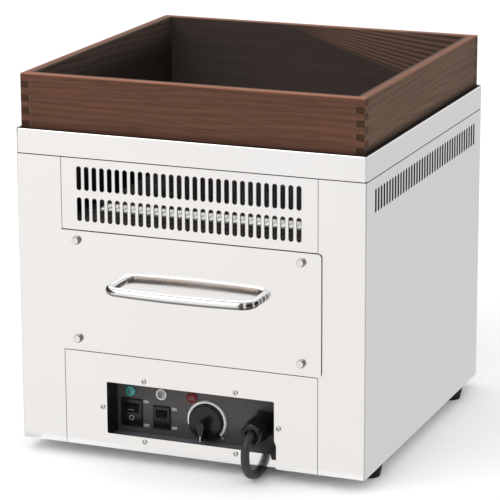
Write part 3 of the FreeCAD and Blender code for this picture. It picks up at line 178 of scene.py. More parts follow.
class Paint:
    """One material being mixed: its shader and what feeds it."""

    def __init__(self, name, shader="ShaderNodeBsdfPrincipled"):
        self.material = bpy.data.materials.new(name)
        self.material.use_nodes = True
        self.tree = self.material.node_tree
        self.tree.nodes.clear()
        self.shader = self.node(shader)
        self.node("ShaderNodeOutputMaterial", None, self.shader.outputs[0])
        self.coordinates = self.node("ShaderNodeTexCoord")

    def put(self, socket, value):
        """A number, a colour, a Value or a socket goes to an input."""
        if isinstance(value, Value):
            value = value.socket
        if isinstance(value, bpy.types.NodeSocket):
            self.tree.links.new(value, socket)
        else:
            socket.default_value = (*value, 1.0) if socket.type == "RGBA" else value

    def set(self, node=None, **named):
        """Fills a node's inputs by name; without a node, the shader's."""
        for key, value in named.items():
            self.put((node or self.shader).inputs[key.replace("_", " ")], value)

    def node(self, kind, settings=None, *values, **named):
        """Adds a node: first its settings, then its inputs in order and by name."""
        node = self.tree.nodes.new(kind)
        for key, value in (settings or {}).items():
            setattr(node, key, value)
        for socket, value in zip(node.inputs, values):
            if value is not None:
                self.put(socket, value)
        self.set(node, **named)
        return node

    def axes(self, output="Object"):
        """The three numbers of the surface's place, or of its normal."""
        node = self.node("ShaderNodeSeparateXYZ", None, self.coordinates.outputs[output])
        return [Value(self, socket) for socket in node.outputs]

    def noise(self, scale=1.0, detail=2.0, roughness=0.5, distortion=0.0, stretch=(1, 1, 1), shift=(0, 0, 0)):
        """Noise over the object's coordinates, stretched and shifted."""
        object_place = self.coordinates.outputs["Object"]
        place = self.node("ShaderNodeMapping", None, object_place, Location=shift, Scale=stretch)
        node = self.node(
            "ShaderNodeTexNoise", None, place.outputs[0], Scale=scale, Detail=detail,
            Roughness=roughness, Distortion=distortion,
        )
        return Value(self, node.outputs[0])

    def blend(self, amount, first, second):
        """A colour between two, by an amount from 0 to 1; the Mix node's colours are inputs 6 and 7."""
        between = [None] * 5
        node = self.node("ShaderNodeMix", {"data_type": "RGBA"}, amount, *between, first, second)
        return node.outputs[2]

    def shade(self, tone, factor):
        """A colour times a number."""
        return self.node("ShaderNodeVectorMath", {"operation": "SCALE"}, tone, Scale=factor).outputs[0]

    def bump(self, height, distance, strength=1.0):
        """A normal from a height of 0 to 1 times a distance in metres."""
        node = self.node("ShaderNodeBump", None, Strength=strength, Distance=distance, Height=height)
        return node.outputs[0]


# -------- surfaces
def placed(name, data):
    """A new object in the scene."""
    item = bpy.data.objects.new(name, data)
    bpy.context.scene.collection.objects.link(item)
    return item


def grid_quads(rows, columns):
    """Corner numbers of the quads between the rows of a grid whose last column joins the first."""
    i, j = np.meshgrid(np.arange(rows - 1), np.arange(columns), indexing="ij")
    k = (j + 1) % columns
    corners = [i * columns + j, i * columns + k, (i + 1) * columns + k, (i + 1) * columns + j]
    return np.stack(corners, axis=-1).reshape(-1, 4)


def piece(name, points, faces, body, look, slot, smooth=True):
    """A piece of the object from points and faces: doubles merged, faces outwards, riding on a body."""
    mesh = bpy.data.meshes.new(name)
    mesh.from_pydata(np.asarray(points, float).reshape(-1, 3).tolist(), [], np.asarray(faces).tolist())
    work = bmesh.new()
    work.from_mesh(mesh)
    bmesh.ops.remove_doubles(work, verts=work.verts, dist=1e-6)
    bmesh.ops.dissolve_degenerate(work, edges=work.edges, dist=1e-7)
    bmesh.ops.recalc_face_normals(work, faces=work.faces)
    work.to_mesh(mesh)
    work.free()
    mesh.polygons.foreach_set("use_smooth", [smooth] * len(mesh.polygons))
    mesh.materials.append(finish(look))
    made = placed(name, mesh)
    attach(made, body)
    return made


def laid(points, origin, across=(1, 0, 0), up=(0, 0, 1)):
    """Points (across, up, outwards) laid on a face; outwards is across x up."""
    across, up = np.asarray(across, float), np.asarray(up, float)
    axes = np.stack([across, up, np.cross(across, up)])
    return np.asarray(points, float) @ axes + np.asarray(origin, float)


def bar(path, width, lift):
    """A flat bar: a rectangular section carried along a path of (up, outwards) points."""
    aside = np.array([-0.5, 0.5, 0.5, -0.5]) * width
    rows = [[(x, up, out + raised) for x, raised in zip(aside, (0, 0, lift, lift))] for up, out in path]
    last = 4 * len(path) - 4
    ends = [[3, 2, 1, 0], [last, last + 1, last + 2, last + 3]]
    return np.reshape(rows, (-1, 3)), np.vstack([grid_quads(len(path), 4), ends])


def hoop(radius, width, lift, count=40):
    """A flat ring: a rectangular section carried round a circle."""
    angles = np.linspace(0, 2 * math.pi, count, endpoint=False)
    radii = radius + np.array([-0.5, 0.5, 0.5, -0.5]) * width
    lifts = np.broadcast_to([0.0, 0.0, lift, lift], (count, 4))
    rows = np.stack([np.outer(np.cos(angles), radii), np.outer(np.sin(angles), radii), lifts], axis=-1)
    rows = np.concatenate([rows, rows[:1]])
    return rows.reshape(-1, 3), grid_quads(count + 1, 4)


def joined_parts(parts):
    """Several (points, faces) as one; faces of one size only."""
    points, faces, count = [], [], 0
    for part_points, part_faces in parts:
        points.append(part_points)
        faces.append(np.asarray(part_faces) + count)
        count += len(part_points)
    return np.vstack(points), np.vstack(faces)


# -------- finishes
VENT_PITCH = 9.0 * MM
# Rows of vents: heights of their middles under the collar, length, width and half the row's span
FRONT_VENTS = ((22.8 * MM, 56.9 * MM), 25.8 * MM, 5.0 * MM, 131.0 * MM)
SIDE_VENTS = ((25.5 * MM,), 25.0 * MM, 4.5 * MM, 176.0 * MM)


def rolled_edges(across, drop, vents):
    """1 on a punched sheet by the edges of its slots, which the punch rolls over; 0 half a mm off.

    The distance is that to the middle line of the nearest slot, hypot(aside, above), less half the
    slot's width; slots stand a pitch apart and one is in the middle.
    """
    heights, length, width, span = vents
    aside = across - (across / VENT_PITCH).math("ROUND") * VENT_PITCH
    above = abs(drop - heights[0])
    for height in heights[1:]:
        above = above.least(abs(drop - height))
    above = (above - (length - width) / 2).most(0.0)
    distance = (aside * aside + above * above) ** 0.5 - width / 2
    return distance.smooth(0.5 * MM, 0.3 * MM) * (abs(across) < span)


def polished_steel(paint, facing=None, seam=None, vents=None):
    """Bright rolled sheet: faint streaks, soft smudges of warm and cool tone and a slow waviness.

    The joint under the collar, the ledge round the box and the bends at the corners get painted shade
    and a rougher surface: short bands of heights on faces that stand inside the outline, and thin
    upright bands. A sheet that faces along an axis has painted shade on its cut edges, which face
    elsewhere; its upright edges beyond a seam's distance from the middle and the rolled edges of its
    vents get painted shade too.
    """
    streaks = paint.noise(1.0, 3.0, 0.6, stretch=(6.0, 6.0, 900.0))
    smudges = paint.noise(7.0, 3.0, 0.55)
    warmth = paint.noise(4.0, shift=(3.0, 1.0, 2.0))
    waves = paint.noise(2.2, 1.0, 0.4)
    tone = paint.blend(warmth, paint.shade(colours().steel, 0.99), (0.87, 0.866, 0.868))
    x, y, z = paint.axes()
    joint, ledge = high("left_side_panel").z, high("top_collar").z
    middle, half = centre("top_collar"), (high("top_collar") - low("top_collar")) / 2
    off_x, off_y = abs(x), abs(y - middle.y)

    def within(margin):
        """1 on what stands further than a margin inside the collar's outline."""
        return (off_x < half.x - margin) * (off_y < half.y - margin)

    # Painted shade in the joint under the collar, on the ledge under the box, along the joint line and at the
    # corner bends
    gap = within(0.4 * MM) * (z > joint - 0.4 * MM) * (z < joint + 1.6 * MM)
    rim = within(0.5 * MM) * (z > ledge - 0.6 * MM)
    line = (z > joint - 0.4 * MM) * (z < joint + 0.4 * MM)
    bend = (off_x > half.x - 1.0 * MM) * (off_y > half.y - 1.0 * MM) * (z < joint)
    painted_shade = gap.most(rim).most(line * 0.45).most(bend * 0.36)
    # Painted shade on cut edges, on upright edges by the seams and on the rolled edges of the vents
    if facing:
        normal = dict(zip("XYZ", paint.axes("Normal")))[facing]
        cut = abs(normal).smooth(0.9, 0.6)
        painted_shade = painted_shade.most(cut if facing == "Y" else cut * (off_y < half.y - 20 * MM))
    if seam:
        painted_shade = painted_shade.most((off_x > seam - 0.5 * MM) * 0.75)
    if vents:
        across, drop = x if facing == "Y" else y - middle.y, joint + 0.9 * MM - z
        painted_shade = painted_shade.most(rolled_edges(across, drop, vents) * 0.85)
    paint.set(
        Base_Color=paint.shade(tone, (0.96 + streaks * 0.03 + smudges * 0.04) * (1.0 - painted_shade * 0.92)),
        Metallic=1.0,
        Roughness=0.1 + streaks * 0.05 + smudges.smooth(0.45, 0.75) * 0.05 + painted_shade * 0.4,
        Normal=paint.bump(waves + streaks * 0.003, 0.0008, 0.5),
    )


def simple(paint, noises, tone, shades, rough, bump=None, fixed={}):
    """A finish of a few noises.

    The tone is a colour, or its name, times a sum of the noises; or two colours that the first
    noise blends. A sum is a constant and a factor for each noise. The bump has a noise's index, a
    height in metres and a strength.
    """
    values = [paint.noise(*noise) for noise in noises]

    def weighed(sums):
        return sum((value * factor for value, factor in zip(values, sums[1:]) if factor), sums[0])

    if shades:
        tone = getattr(colours(), tone) if isinstance(tone, str) else tone
        tone = paint.shade(tone, weighed(shades))
    else:
        tone = paint.blend(values[0], *tone)
    paint.set(Base_Color=tone, Roughness=weighed(rough), **fixed)
    if bump:
        paint.set(Normal=paint.bump(values[bump[0]], *bump[1:]))


def fastener_zinc(paint):
    """Plated heads that face the front or the rear, with painted shade on their flanks and in their recesses,
    darkest on the right and underneath.
    """
    mottle = paint.noise(420.0)
    nx, ny, nz = paint.axes("Normal")
    tilt = abs(ny).smooth(0.97, 0.75)
    # Painted shade: faces that turn away from the front or rear are darkened, most on the right and underneath
    flank_shade = tilt * (0.5 + nx.smooth(0.1, 0.6) * 0.25 + nz.smooth(0.2, -0.4) * 0.2)
    paint.set(
        Base_Color=paint.shade(colours().zinc, (0.82 + mottle * 0.3) * (1.0 - flank_shade)),
        Metallic=1.0,
        Roughness=0.18 + mottle * 0.14 + tilt * 0.1,
        Normal=paint.bump(mottle, 0.00003, 0.4),
    )


def bright_chrome(paint):
    """Chrome plate with a trace of handling marks."""
    marks = paint.noise(35.0, 3.0, 0.6)
    paint.set(
        Base_Color=paint.shade(colours().chrome, 0.96 + marks * 0.06),
        Metallic=1.0,
        Roughness=0.05 + marks.smooth(0.5, 0.8) * 0.07,
    )


def chrome_with_painted_reflections(paint):
    """Chrome of the handle with painted reflections.

    The side towards the drawer has a painted brown reflection below its upper edge and is painted nearly
    black beneath; the front side has a painted dark line along its underside and is painted a little
    darker on its upper front, faces towards the left are painted dark except near the top, and the
    sides of the legs are painted dark with painted bright glints: round the bends at steps of the
    angle about the upright, and at steps along the right leg.
    """
    spot_step, leg_length = 8 * MM, 15 * MM
    marks = paint.noise(60.0, 3.0, 0.6)
    nx, ny, nz = paint.axes("Normal")
    x, y, _ = paint.axes()
    right = x > 0.0
    azimuth = nx.math("ARCTAN2", ny * -1.0)
    leg = (y - (high("drawer_handle").y - leg_length)).most(0.0) * right / spot_step
    # Painted bright glints round the bends and along the right leg
    spots = (azimuth * 11.0 + leg * 2 * math.pi + 2.0).sine().smooth(0.55, 0.85) * nx.smooth(0.15, 0.3)
    # Painted reflections: brown on the rear, near black beneath, dark lines, dark flanks and a darker upper front
    rear, front = ny.smooth(0.2, 0.5), ny.smooth(-0.2, -0.4)
    back_reflection = rear * nz.smooth(0.88, 0.78) * (1.0 - spots)
    under_reflection = rear * nz.smooth(0.1, -0.1)
    line = front * nz.smooth(-0.15, -0.35) * nz.smooth(-0.95, -0.85)
    flank_reflection = nx.smooth(0.08, 0.26) * (nz - right * 0.25).smooth(0.6, 0.3) * (1.0 - spots)
    left = nx.smooth(-0.15, -0.4) * nz.smooth(0.4, 0.1)
    crest = front * nz.smooth(0.56, 0.68) * nz.smooth(0.88, 0.78)
    tone = paint.shade(colours().chrome, 1.0 - crest * 0.24)
    tone = paint.blend(back_reflection, tone, (0.27, 0.225, 0.195))
    tone = paint.blend(under_reflection, tone, (0.09, 0.078, 0.07))
    tone = paint.blend(line.most(left) * 0.85, tone, (0.13, 0.115, 0.1))
    tone = paint.blend(flank_reflection * 0.95, tone, (0.06, 0.052, 0.046))
    paint.set(
        Base_Color=paint.shade(tone, 0.96 + marks * 0.06),
        Metallic=1.0,
        Roughness=0.06 + marks.smooth(0.5, 0.8) * 0.05,
    )


def lamp_frames(paint):
    """Small frames in the tone of their own lens: green, clear and red from the left."""
    x = paint.axes()[0]
    left, middle, right = (centre(lamp).x for lamp in LAMPS)
    tone = paint.blend(x > (left + middle) / 2, (0.05, 0.2, 0.19), (0.78, 0.78, 0.77))
    tone = paint.blend(x > (middle + right) / 2, tone, (0.16, 0.012, 0.018))
    wear = paint.noise(500.0)
    paint.set(
        Base_Color=paint.shade(tone, 0.8 + wear * 0.4),
        Metallic=0.55,
        Roughness=0.12 + wear * 0.15,
        Specular_IOR_Level=0.6,
    )


def dial_ring(paint):
    """Bright ring from half past eight over twelve to half past four; painted shade makes it black below."""
    hour = math.radians(30)
    middle = centre("timer_dial_ring")
    x, _, z = paint.axes()
    wear = paint.noise(300.0)
    clock = (x - middle.x).math("ARCTAN2", z - middle.z)
    # Painted shade: the ring is black outside the bright arc
    bright = (clock > (8.5 - 12) * hour) * (clock < 4.4 * hour)
    paint.set(
        Base_Color=paint.blend(bright, (0.02, 0.02, 0.02), (0.93, 0.92, 0.91)),
        Metallic=bright * 0.25,
        Roughness=0.22 + wear * 0.12,
    )


def stained_jacket(paint):
    """Outer sheet of the oven with faint stains, near black within about 100 mm of the front and dull brown
    further back, with a painted pool of light in a band behind the front's slots.
    """
    x, y, _ = paint.axes()
    facing_side = abs(paint.axes("Normal")[0])
    stains = paint.noise(22.0, 4.0, 0.6)
    depth = y - low("upper_vent_panel").y
    # Painted pool of light on the top of the jacket behind the front's slots
    painted_light_band = depth.smooth(50 * MM, 60 * MM) * depth.smooth(93 * MM, 85 * MM)
    painted_light_band = painted_light_band * x.smooth(-138 * MM, -129 * MM) * x.smooth(118 * MM, 106 * MM)
    painted_light_band = painted_light_band * facing_side.smooth(0.6, 0.3)
    # Near black within about 100 mm of the front, dull brown further back
    deep = depth.smooth(100 * MM, 120 * MM)
    dark_front_brown_back = paint.blend(deep, (0.014, 0.011, 0.009), (0.14, 0.115, 0.1))
    paint.set(
        Base_Color=paint.blend(painted_light_band * (0.75 + stains * 0.3), dark_front_brown_back, (0.85, 0.84, 0.82)),
        Metallic=0.15,
        Roughness=0.42 + stains * 0.2,
    )


def heater_sheath(paint):
    """Dark oxide of a rod that has been hot, with straw and blue tints."""
    stops = ((0.3, 0.05, 0.045, 0.042), (0.55, 0.1, 0.07, 0.05), (0.75, 0.06, 0.065, 0.085))
    patches = paint.noise(40.0, 3.0, 0.6)
    scale = paint.noise(900.0, 2.0, 0.6)
    tints = paint.node("ShaderNodeValToRGB", None, patches)
    tints.color_ramp.elements.new(0.5)
    for element, (position, *tone) in zip(tints.color_ramp.elements, stops):
        element.position, element.color = position, (*tone, 1.0)
    paint.set(
        Base_Color=tints.outputs[0],
        Metallic=1.0,
        Roughness=0.42 + scale * 0.2,
        Normal=paint.bump(scale, 0.00005, 0.5),
    )


def dark_plate(paint):
    """Satin paint with a fine orange peel: grey-brown on the plate; the recess's floor carries a painted
    reflection, lighter and cooler, and its side walls carry painted shade, near black.
    """
    peel, cast = paint.noise(1400.0), paint.noise(14.0)
    nx, _, nz = paint.axes("Normal")
    # Painted reflection on faces that look up; painted shade on faces that look sideways
    floor, wall = nz.smooth(0.5, 0.9), abs(nx).smooth(0.5, 0.9)
    tone = paint.blend(floor, colours().plate, [2.6 * c for c in colours().recess])
    tone = paint.blend(wall, tone, [0.16 * c for c in colours().recess])
    paint.set(
        Base_Color=paint.shade(tone, 0.85 + cast * 0.3),
        Roughness=0.3 + cast * 0.1,
        Specular_IOR_Level=0.4,
        Normal=paint.bump(peel, 0.00002, 0.5),
    )


def lens(paint, lamp, deep, bright, glow):
    """Ribbed translucent lamp lens: darker in the middle; painted highlights brighten the facets towards the rim,
    in its colour and in its faint glow.
    """
    middle = centre(lamp)
    x, _, z = paint.axes()
    x, z = x - middle.x, z - middle.z
    # Painted highlights: the rim and its facets are brighter, also in the glow
    rim = ((x * x + z * z) ** 0.5).smooth(1.5 * MM, 5.0 * MM)
    facets = (z.math("ARCTAN2", x) * 8.0).sine() * 0.5 + 0.5
    paint.set(
        Base_Color=paint.blend(rim * (0.45 + facets * 0.55), deep, bright),
        Roughness=0.12 + facets * 0.1,
        Transmission_Weight=0.25, IOR=1.49, Coat_Weight=0.6, Coat_Roughness=0.06,
        Emission_Color=paint.blend(rim, deep, bright),
        Emission_Strength=glow,
        Normal=paint.bump(facets * rim, 0.00035, 0.8),
    )


def stained_wood(paint, along, seed, fan=False):
    """Stained open-grained board.

    The grain runs along one axis. Growth lines are a sine of the height across the grain, bent by
    slow noise into long arches; pores are thresholded noise drawn out along the grain. Faces square
    to the grain show dark end grain, the upper edges are rubbed pale and the inside is smoked dark.
    The boards along Y take a lighter, greyer ground as a painted sheen; the left board's inside has
    lighter growth lines near the top and painted shade, near black, deeper down; and painted shade
    darkens the outside towards the foot. On a board with a fan the inside also shows growth lines
    that spread from a point above its edge: a sine of the slope (top - z) / (x - start).
    """
    look, side = colours(), along == "Y"
    ring_rate, ring_bend, fan_rate, fan_above, fan_start = 900.0, 80.0, 215.0, 12 * MM, -75 * MM
    slow, fine = np.array([1.6, 9.0, 9.0]), np.array([10.0, 520.0, 520.0])
    if side:
        slow, fine = slow[[1, 0, 2]], fine[[1, 0, 2]]
    arches = paint.noise(1.0, 2.0, 0.45, 0.3, slow, (seed, seed * 0.7, seed * 1.3))
    drift = paint.noise(1.0, 3.0, stretch=(4.0, 4.0, 9.0), shift=(seed, 0, 0))
    fibres = paint.noise(1.0, 4.0, 0.65, stretch=fine)
    dashes = paint.noise(1.0, 1.0, stretch=2.6 * fine, shift=(seed, 0, 0))
    rings = paint.noise(1.0, 2.0, 0.6, stretch=(900.0, 900.0, 260.0))
    x, y, z = paint.axes()
    nx, ny, nz = paint.axes("Normal")
    lines = ((z * ring_rate + arches * ring_bend).sine() * 0.5 + 0.5) ** 1.4
    pores = dashes.smooth(0.58, 0.7) * (0.2 if side else 0.45)

    (near, front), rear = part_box("front_board"), high("rear_board")
    top, foot, wall = front.z, high("top_collar").z, front.y - near.y
    half_x = front.x - wall + 0.2 * MM
    half_y = (rear.y - near.y) / 2 - wall + 0.2 * MM
    over = nz.smooth(0.5, 0.8) * 3.2 * MM
    off_x, off_y = abs(x), abs(y - (near.y + rear.y) / 2)
    inside = (off_x - over < half_x) * (off_y - over < half_y)
    outside = 1.0 - inside

    ground = lines * (0.2 - inside * 0.15) * drift * 1.6 + fibres * 0.8 + drift * 0.35 - 0.16
    ground = ground.least(1.0).most(0.0)
    # Painted sheen: boards along Y get a lighter, greyer ground tone
    light = np.array(look.wood_light) * ((1.1, 1.46, 1.38) if side else 1.0)
    tone = paint.blend(ground, look.wood_dark, light)
    tone = paint.blend(pores, tone, [0.4 * c for c in look.wood_dark])
    tip = off_x > half_x + 1.6 * MM if side else off_y > half_y + 1.6 * MM
    end_grain = abs(ny if side else nx).smooth(0.6, 0.8) * outside * tip
    cut = paint.shade(look.wood_dark, 0.4 + rings * 0.8)
    tone = paint.blend(end_grain * (0.92 if side else 0.6), tone, cut)

    smoked = paint.blend(ground, (0.026, 0.021, 0.018), (0.066, 0.052, 0.045))
    if fan:
        slope = (top + fan_above - z) / (x - fan_start).most(1 * MM) + (arches - 0.5) * 0.05
        streaks = (slope * fan_rate).sine() * 0.5 + 0.5
        shown = slope.smooth(0.36, 0.28) * x.smooth(-55 * MM, 40 * MM) * (0.6 + fibres * 0.6)
        smoked = paint.blend(shown * streaks ** 0.7, smoked, (0.165, 0.09, 0.061))
    tone = paint.blend(inside * 0.95, tone, smoked)
    if side:
        left = x < 0.0
        # Painted shade: the left board's inside goes near black deeper down
        deep = z.smooth(top - 4 * MM, top - 42 * MM) * left
        tone = paint.blend(inside * (1.0 - deep) * left * lines * 0.5, tone, (0.1, 0.062, 0.045))
        tone = paint.blend(inside * deep * 0.7, tone, (0.008, 0.004, 0.003))
    rub = z.smooth(top - 1.6 * MM, top - 0.3 * MM) * (0.35 + fibres * 0.6) * (1.0 - inside * 0.8)
    tone = paint.blend(rub, tone, [(1.0 if side else 1.5) * c for c in look.wood_worn])
    # Painted shade at the foot by the collar, stronger on faces that look sideways
    foot_shade = z.smooth(foot + 12 * MM, foot) * (0.25 + abs(nx) * 0.55) * outside
    paint.set(
        Base_Color=paint.shade(tone, 1.0 - foot_shade.least(0.85)),
        Roughness=0.55 - fibres * 0.1 + pores * 0.15 + end_grain * 0.1,
        Specular_IOR_Level=0.04,
        Normal=paint.bump(lines * 0.15 + fibres * 0.5 - pores * 0.8, 0.00012, 0.6),
    )


LAMPS = ("power_lamp_lens", "high_temperature_lamp_lens", "heating_lamp_lens")
METAL = {"Metallic": 1.0}
# What mixes each finish, and what it takes after the paint
FINISHES = {
    **{
        mix.__name__: (mix,) for mix in (
            polished_steel, fastener_zinc, bright_chrome, chrome_with_painted_reflections, heater_sheath, dark_plate,
            lamp_frames, dial_ring, stained_jacket,
        )
    },
    "front_vent_steel": (polished_steel, "Y", high("upper_vent_panel").x, FRONT_VENTS),
    "lower_panel_steel": (polished_steel, "Y", high("lower_front_panel").x),
    "drawer_front_steel": (polished_steel, "Y"),
    "side_vent_steel": (polished_steel, "X", None, SIDE_VENTS),
    "green_lens": (lens, LAMPS[0], (0.01, 0.1, 0.09), (0.1, 0.46, 0.44), 0.2),
    "clear_lens": (lens, LAMPS[1], (0.16, 0.155, 0.15), (0.85, 0.86, 0.86), 0.05),
    "red_lens": (lens, LAMPS[2], (0.14, 0.01, 0.014), (0.3, 0.04, 0.045), 0.04),
    "wood_of_front_board": (stained_wood, "X", 3.1),
    "wood_of_rear_board": (stained_wood, "X", 7.7, True),
    "wood_of_right_board": (stained_wood, "Y", 5.3),
    "wood_of_left_board": (stained_wood, "Y", 11.9),
    # Duller inner sheet with lengthwise grain
    "satin_steel": (
        simple, [(1.0, 3.0, 0.6, 0.0, (12.0, 12.0, 1500.0)), (9.0, 4.0, 0.6)], "satin",
        (0.86, 0.12, 0.14), (0.3, 0.12, 0.08), (0, 0.00004, 0.5), METAL,
    ),
    # Plated steel with a fine mottle
    "zinc_steel": (
        simple, [(420.0,), (60.0,)], "zinc",
        (0.8, 0.2, 0.15), (0.2, 0.14), (0, 0.00003, 0.4), METAL,
    ),
    # Moulded plastic with a fine spark texture and slight gloss
    "black_plastic": (
        simple, [(2600.0,), (90.0,)], "plastic",
        (0.85, 0.0, 0.4), (0.1, 0.12, 0.08), (0, 0.00003, 0.5), {"Specular_IOR_Level": 0.38},
    ),
    # Cream moulding of the terminal block
    "block_plastic": (
        simple, [(120.0, 3.0)], ((0.62, 0.58, 0.48), (0.7, 0.67, 0.58)),
        None, (0.42, 0.12), (0, 0.00003, 0.4),
    ),
    # Dull rubber with dust in its pores
    "foot_rubber": (
        simple, [(700.0, 3.0, 0.6)], "rubber",
        (0.7, 0.7), (0.62, 0.2), (0, 0.00006, 0.6), {"Specular_IOR_Level": 0.2},
    ),
    # Smooth drawn sheath with faint lengthwise tone
    "cord_rubber": (
        simple, [(60.0, 3.0, 0.55), (1100.0,)], "rubber",
        (1.5, 0.8), (0.34, 0.14), (1, 0.00003, 0.45), {"Specular_IOR_Level": 0.4},
    ),
    # Plated brass blades with drawn lines
    "pin_brass": (
        simple, [(1.0, 2.0, 0.5, 0.0, (40.0, 40.0, 2500.0))], ((0.72, 0.56, 0.3), (0.86, 0.74, 0.46)),
        None, (0.2, 0.15), None, METAL,
    ),
    # Matted ceramic fibre
    "fibre_blanket": (
        simple, [(1.0, 5.0, 0.7, 1.5, (160.0, 400.0, 400.0))], ((0.68, 0.66, 0.6), (0.85, 0.84, 0.8)),
        None, (0.85, 0.1), (0, 0.0012, 0.7), {"Specular_IOR_Level": 0.2},
    ),
    # Screen-printed white, and the dull grey that fills the main rocker's moulded marks
    "white_print": (simple, [(900.0,)], "print", (0.86, 0.2), (0.5, 0.1)),
    "grey_print": (simple, [(1200.0,)], (0.3, 0.3, 0.3), (0.8, 0.3), (0.5, 0.1)),
}
OWN_FINISH = {
    **{side + "_board": "wood_of_" + side + "_board" for side in ("front", "rear", "right", "left")},
    "upper_vent_panel": "front_vent_steel",
    "lower_front_panel": "lower_panel_steel",
    "drawer_front": "drawer_front_steel",
    "drawer_bolts": "fastener_zinc",
    "left_side_panel": "side_vent_steel",
    "right_side_panel": "side_vent_steel",
    "lamp_bezels": "lamp_frames",
    "timer_dial_ring": "dial_ring",
    "insulation_jacket": "stained_jacket",
}
made_finishes = {}


def finish(name):
    """The finish of that name, made once."""
    if name not in made_finishes:
        paint = Paint(name)
        mix, *values = FINISHES[name]
        mix(paint, *values)
        made_finishes[name] = paint.material
    return made_finishes[name]


def dress(node, material):
    """A CAD node's own slots take a material."""
    item = nodes[node]
    if not item.material_slots:
        item.data.materials.append(material)
    for slot in item.material_slots:
        slot.material = material


# -------- operators
class MakingOperator:
    bl_options = {"REGISTER", "UNDO"}


class ROASTER_OT_camera(MakingOperator, bpy.types.Operator):
    """Place the camera in front, to the right and above"""

    bl_idname = "roaster.camera"
    bl_label = "Camera"

    def execute(self, context):
        stand, lens_length = Vector((1.0548, -2.6200, 0.9561)), 187.03
        yaw, pitch, roll = (math.radians(angle) for angle in (21.970, 14.958, -0.261))
        data = bpy.data.cameras.new("studio_camera")
        data.sensor_fit, data.sensor_width, data.lens = "HORIZONTAL", 36.0, lens_length
        data.clip_start, data.clip_end = 0.05, 60.0
        camera = placed("studio_camera", data)
        turn = Matrix.Rotation(yaw, 4, "Z") @ Matrix.Rotation(math.pi / 2 - pitch, 4, "X")
        camera.matrix_world = Matrix.Translation(stand) @ turn @ Matrix.Rotation(roll, 4, "Z")
        context.scene.camera = camera
        return {"FINISHED"}


# Control points of the cord's free stretch, in millimetres
CORD_ROUTE = (
    (76.0, -189.6, 53.5), (76.0, -200.6, 53.5), (76.0, -210.6, 43.0), (76.0, -210.6, 25.5),
    (76.0, -200.6, 11.0), (76.0, -180.6, 4.75), (74.0, -147.6, 4.75), (67.0, -85.6, 4.75),
    (61.0, 4.4, 4.75), (62.0, 104.4, 4.75), (68.0, 174.4, 4.75), (72.5, 223.4, 4.75),
    (73.5, 275.4, 4.75),
)
# Turns of the coil: inwards, from there to the start of the way out, and in all
TURNS_IN, TURNS_RISING, TURNS = 2.0, 0.3, 4.26
# The climb starts this many turns before the end of the way in, and takes this many
CLIMB_LEAD, CLIMB_SPAN = 0.07, 0.42
# Angle in degrees, distance outside the outer turn and height of the tail's points, in millimetres
CORD_TAIL = ((112.0, 7.0, 12.25), (130.0, 13.0, 9.55), (148.0, 19.5, 7.55), (166.0, 26.0, 6.6))


def outer_turn():
    """Radius of the coil's outer turn, at the middle of the cord."""
    return (high("cord_coil").x - low("cord_coil").x) / 2 - sizes().cord_diameter / 2


def round_coil(radius, angle, height):
    """Points round the coil's middle."""
    hub = centre("cord_coil")
    return np.stack([hub.x + radius * np.cos(angle), hub.y + radius * np.sin(angle), height], axis=1)


def coil_route():
    """The wound turns: inwards on the floor, up at the inside, then outwards on top of the first layer.

    The radius falls by a diameter a turn, stays while the cord climbs by a diameter, then grows by a
    diameter a turn. Control points stand out by 1 / cos(half a step), so the curve has that radius.
    """
    width, step = sizes().cord_diameter, 1.0 / sizes().coil_points
    turns = np.arange(step / 2, TURNS, step)
    outwards = np.maximum(turns - (TURNS_IN + TURNS_RISING), 0)
    radius = outer_turn() - width * np.minimum(turns, TURNS_IN) + width * outwards
    climb = np.clip((turns - TURNS_IN + CLIMB_LEAD) / CLIMB_SPAN, 0, 1)
    height = width / 2 + width * climb * climb * (3 - 2 * climb)
    return round_coil(radius / math.cos(math.pi * step), 2 * math.pi * turns, height)


def tail_route():
    """From the last turn, outwards and down to the plug's relief."""
    degrees, extra, height = np.array(CORD_TAIL).T
    return round_coil(outer_turn() + extra * MM, np.radians(degrees), height * MM)


class ROASTER_OT_power_cord(MakingOperator, bpy.types.Operator):
    """Lay the mains cord from the gland to its coil and plug"""

    bl_idname = "roaster.power_cord"
    bl_label = "Power cord"

    def execute(self, context):
        points = np.vstack([np.array(CORD_ROUTE) * MM, coil_route(), tail_route()])
        curve = bpy.data.curves.new("mains_cord", "CURVE")
        curve.dimensions = "3D"
        curve.bevel_depth, curve.bevel_resolution = sizes().cord_diameter / 2, 5
        curve.use_fill_caps = True
        spline = curve.splines.new("NURBS")
        spline.points.add(len(points) - 1)
        spline.points.foreach_set("co", np.hstack([points, np.ones((len(points), 1))]).ravel())
        spline.order_u, spline.resolution_u = 3, 6
        spline.use_endpoint_u = spline.use_smooth = True
        curve.materials.append(finish("cord_rubber"))
        cord = placed("mains_cord", curve)
        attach(cord, "casing")
        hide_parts("power_cord", "cord_coil")
        return {"FINISHED"}


class ROASTER_OT_finishes(MakingOperator, bpy.types.Operator):
    """Give every CAD piece the finish of its material slot"""

    bl_idname = "roaster.finishes"
    bl_label = "Finishes"

    def execute(self, context):
        for part in frame["record"]["subparts"]:
            dress(part["node"], finish(OWN_FINISH.get(part["node"], part["material_slot"])))
        return {"FINISHED"}


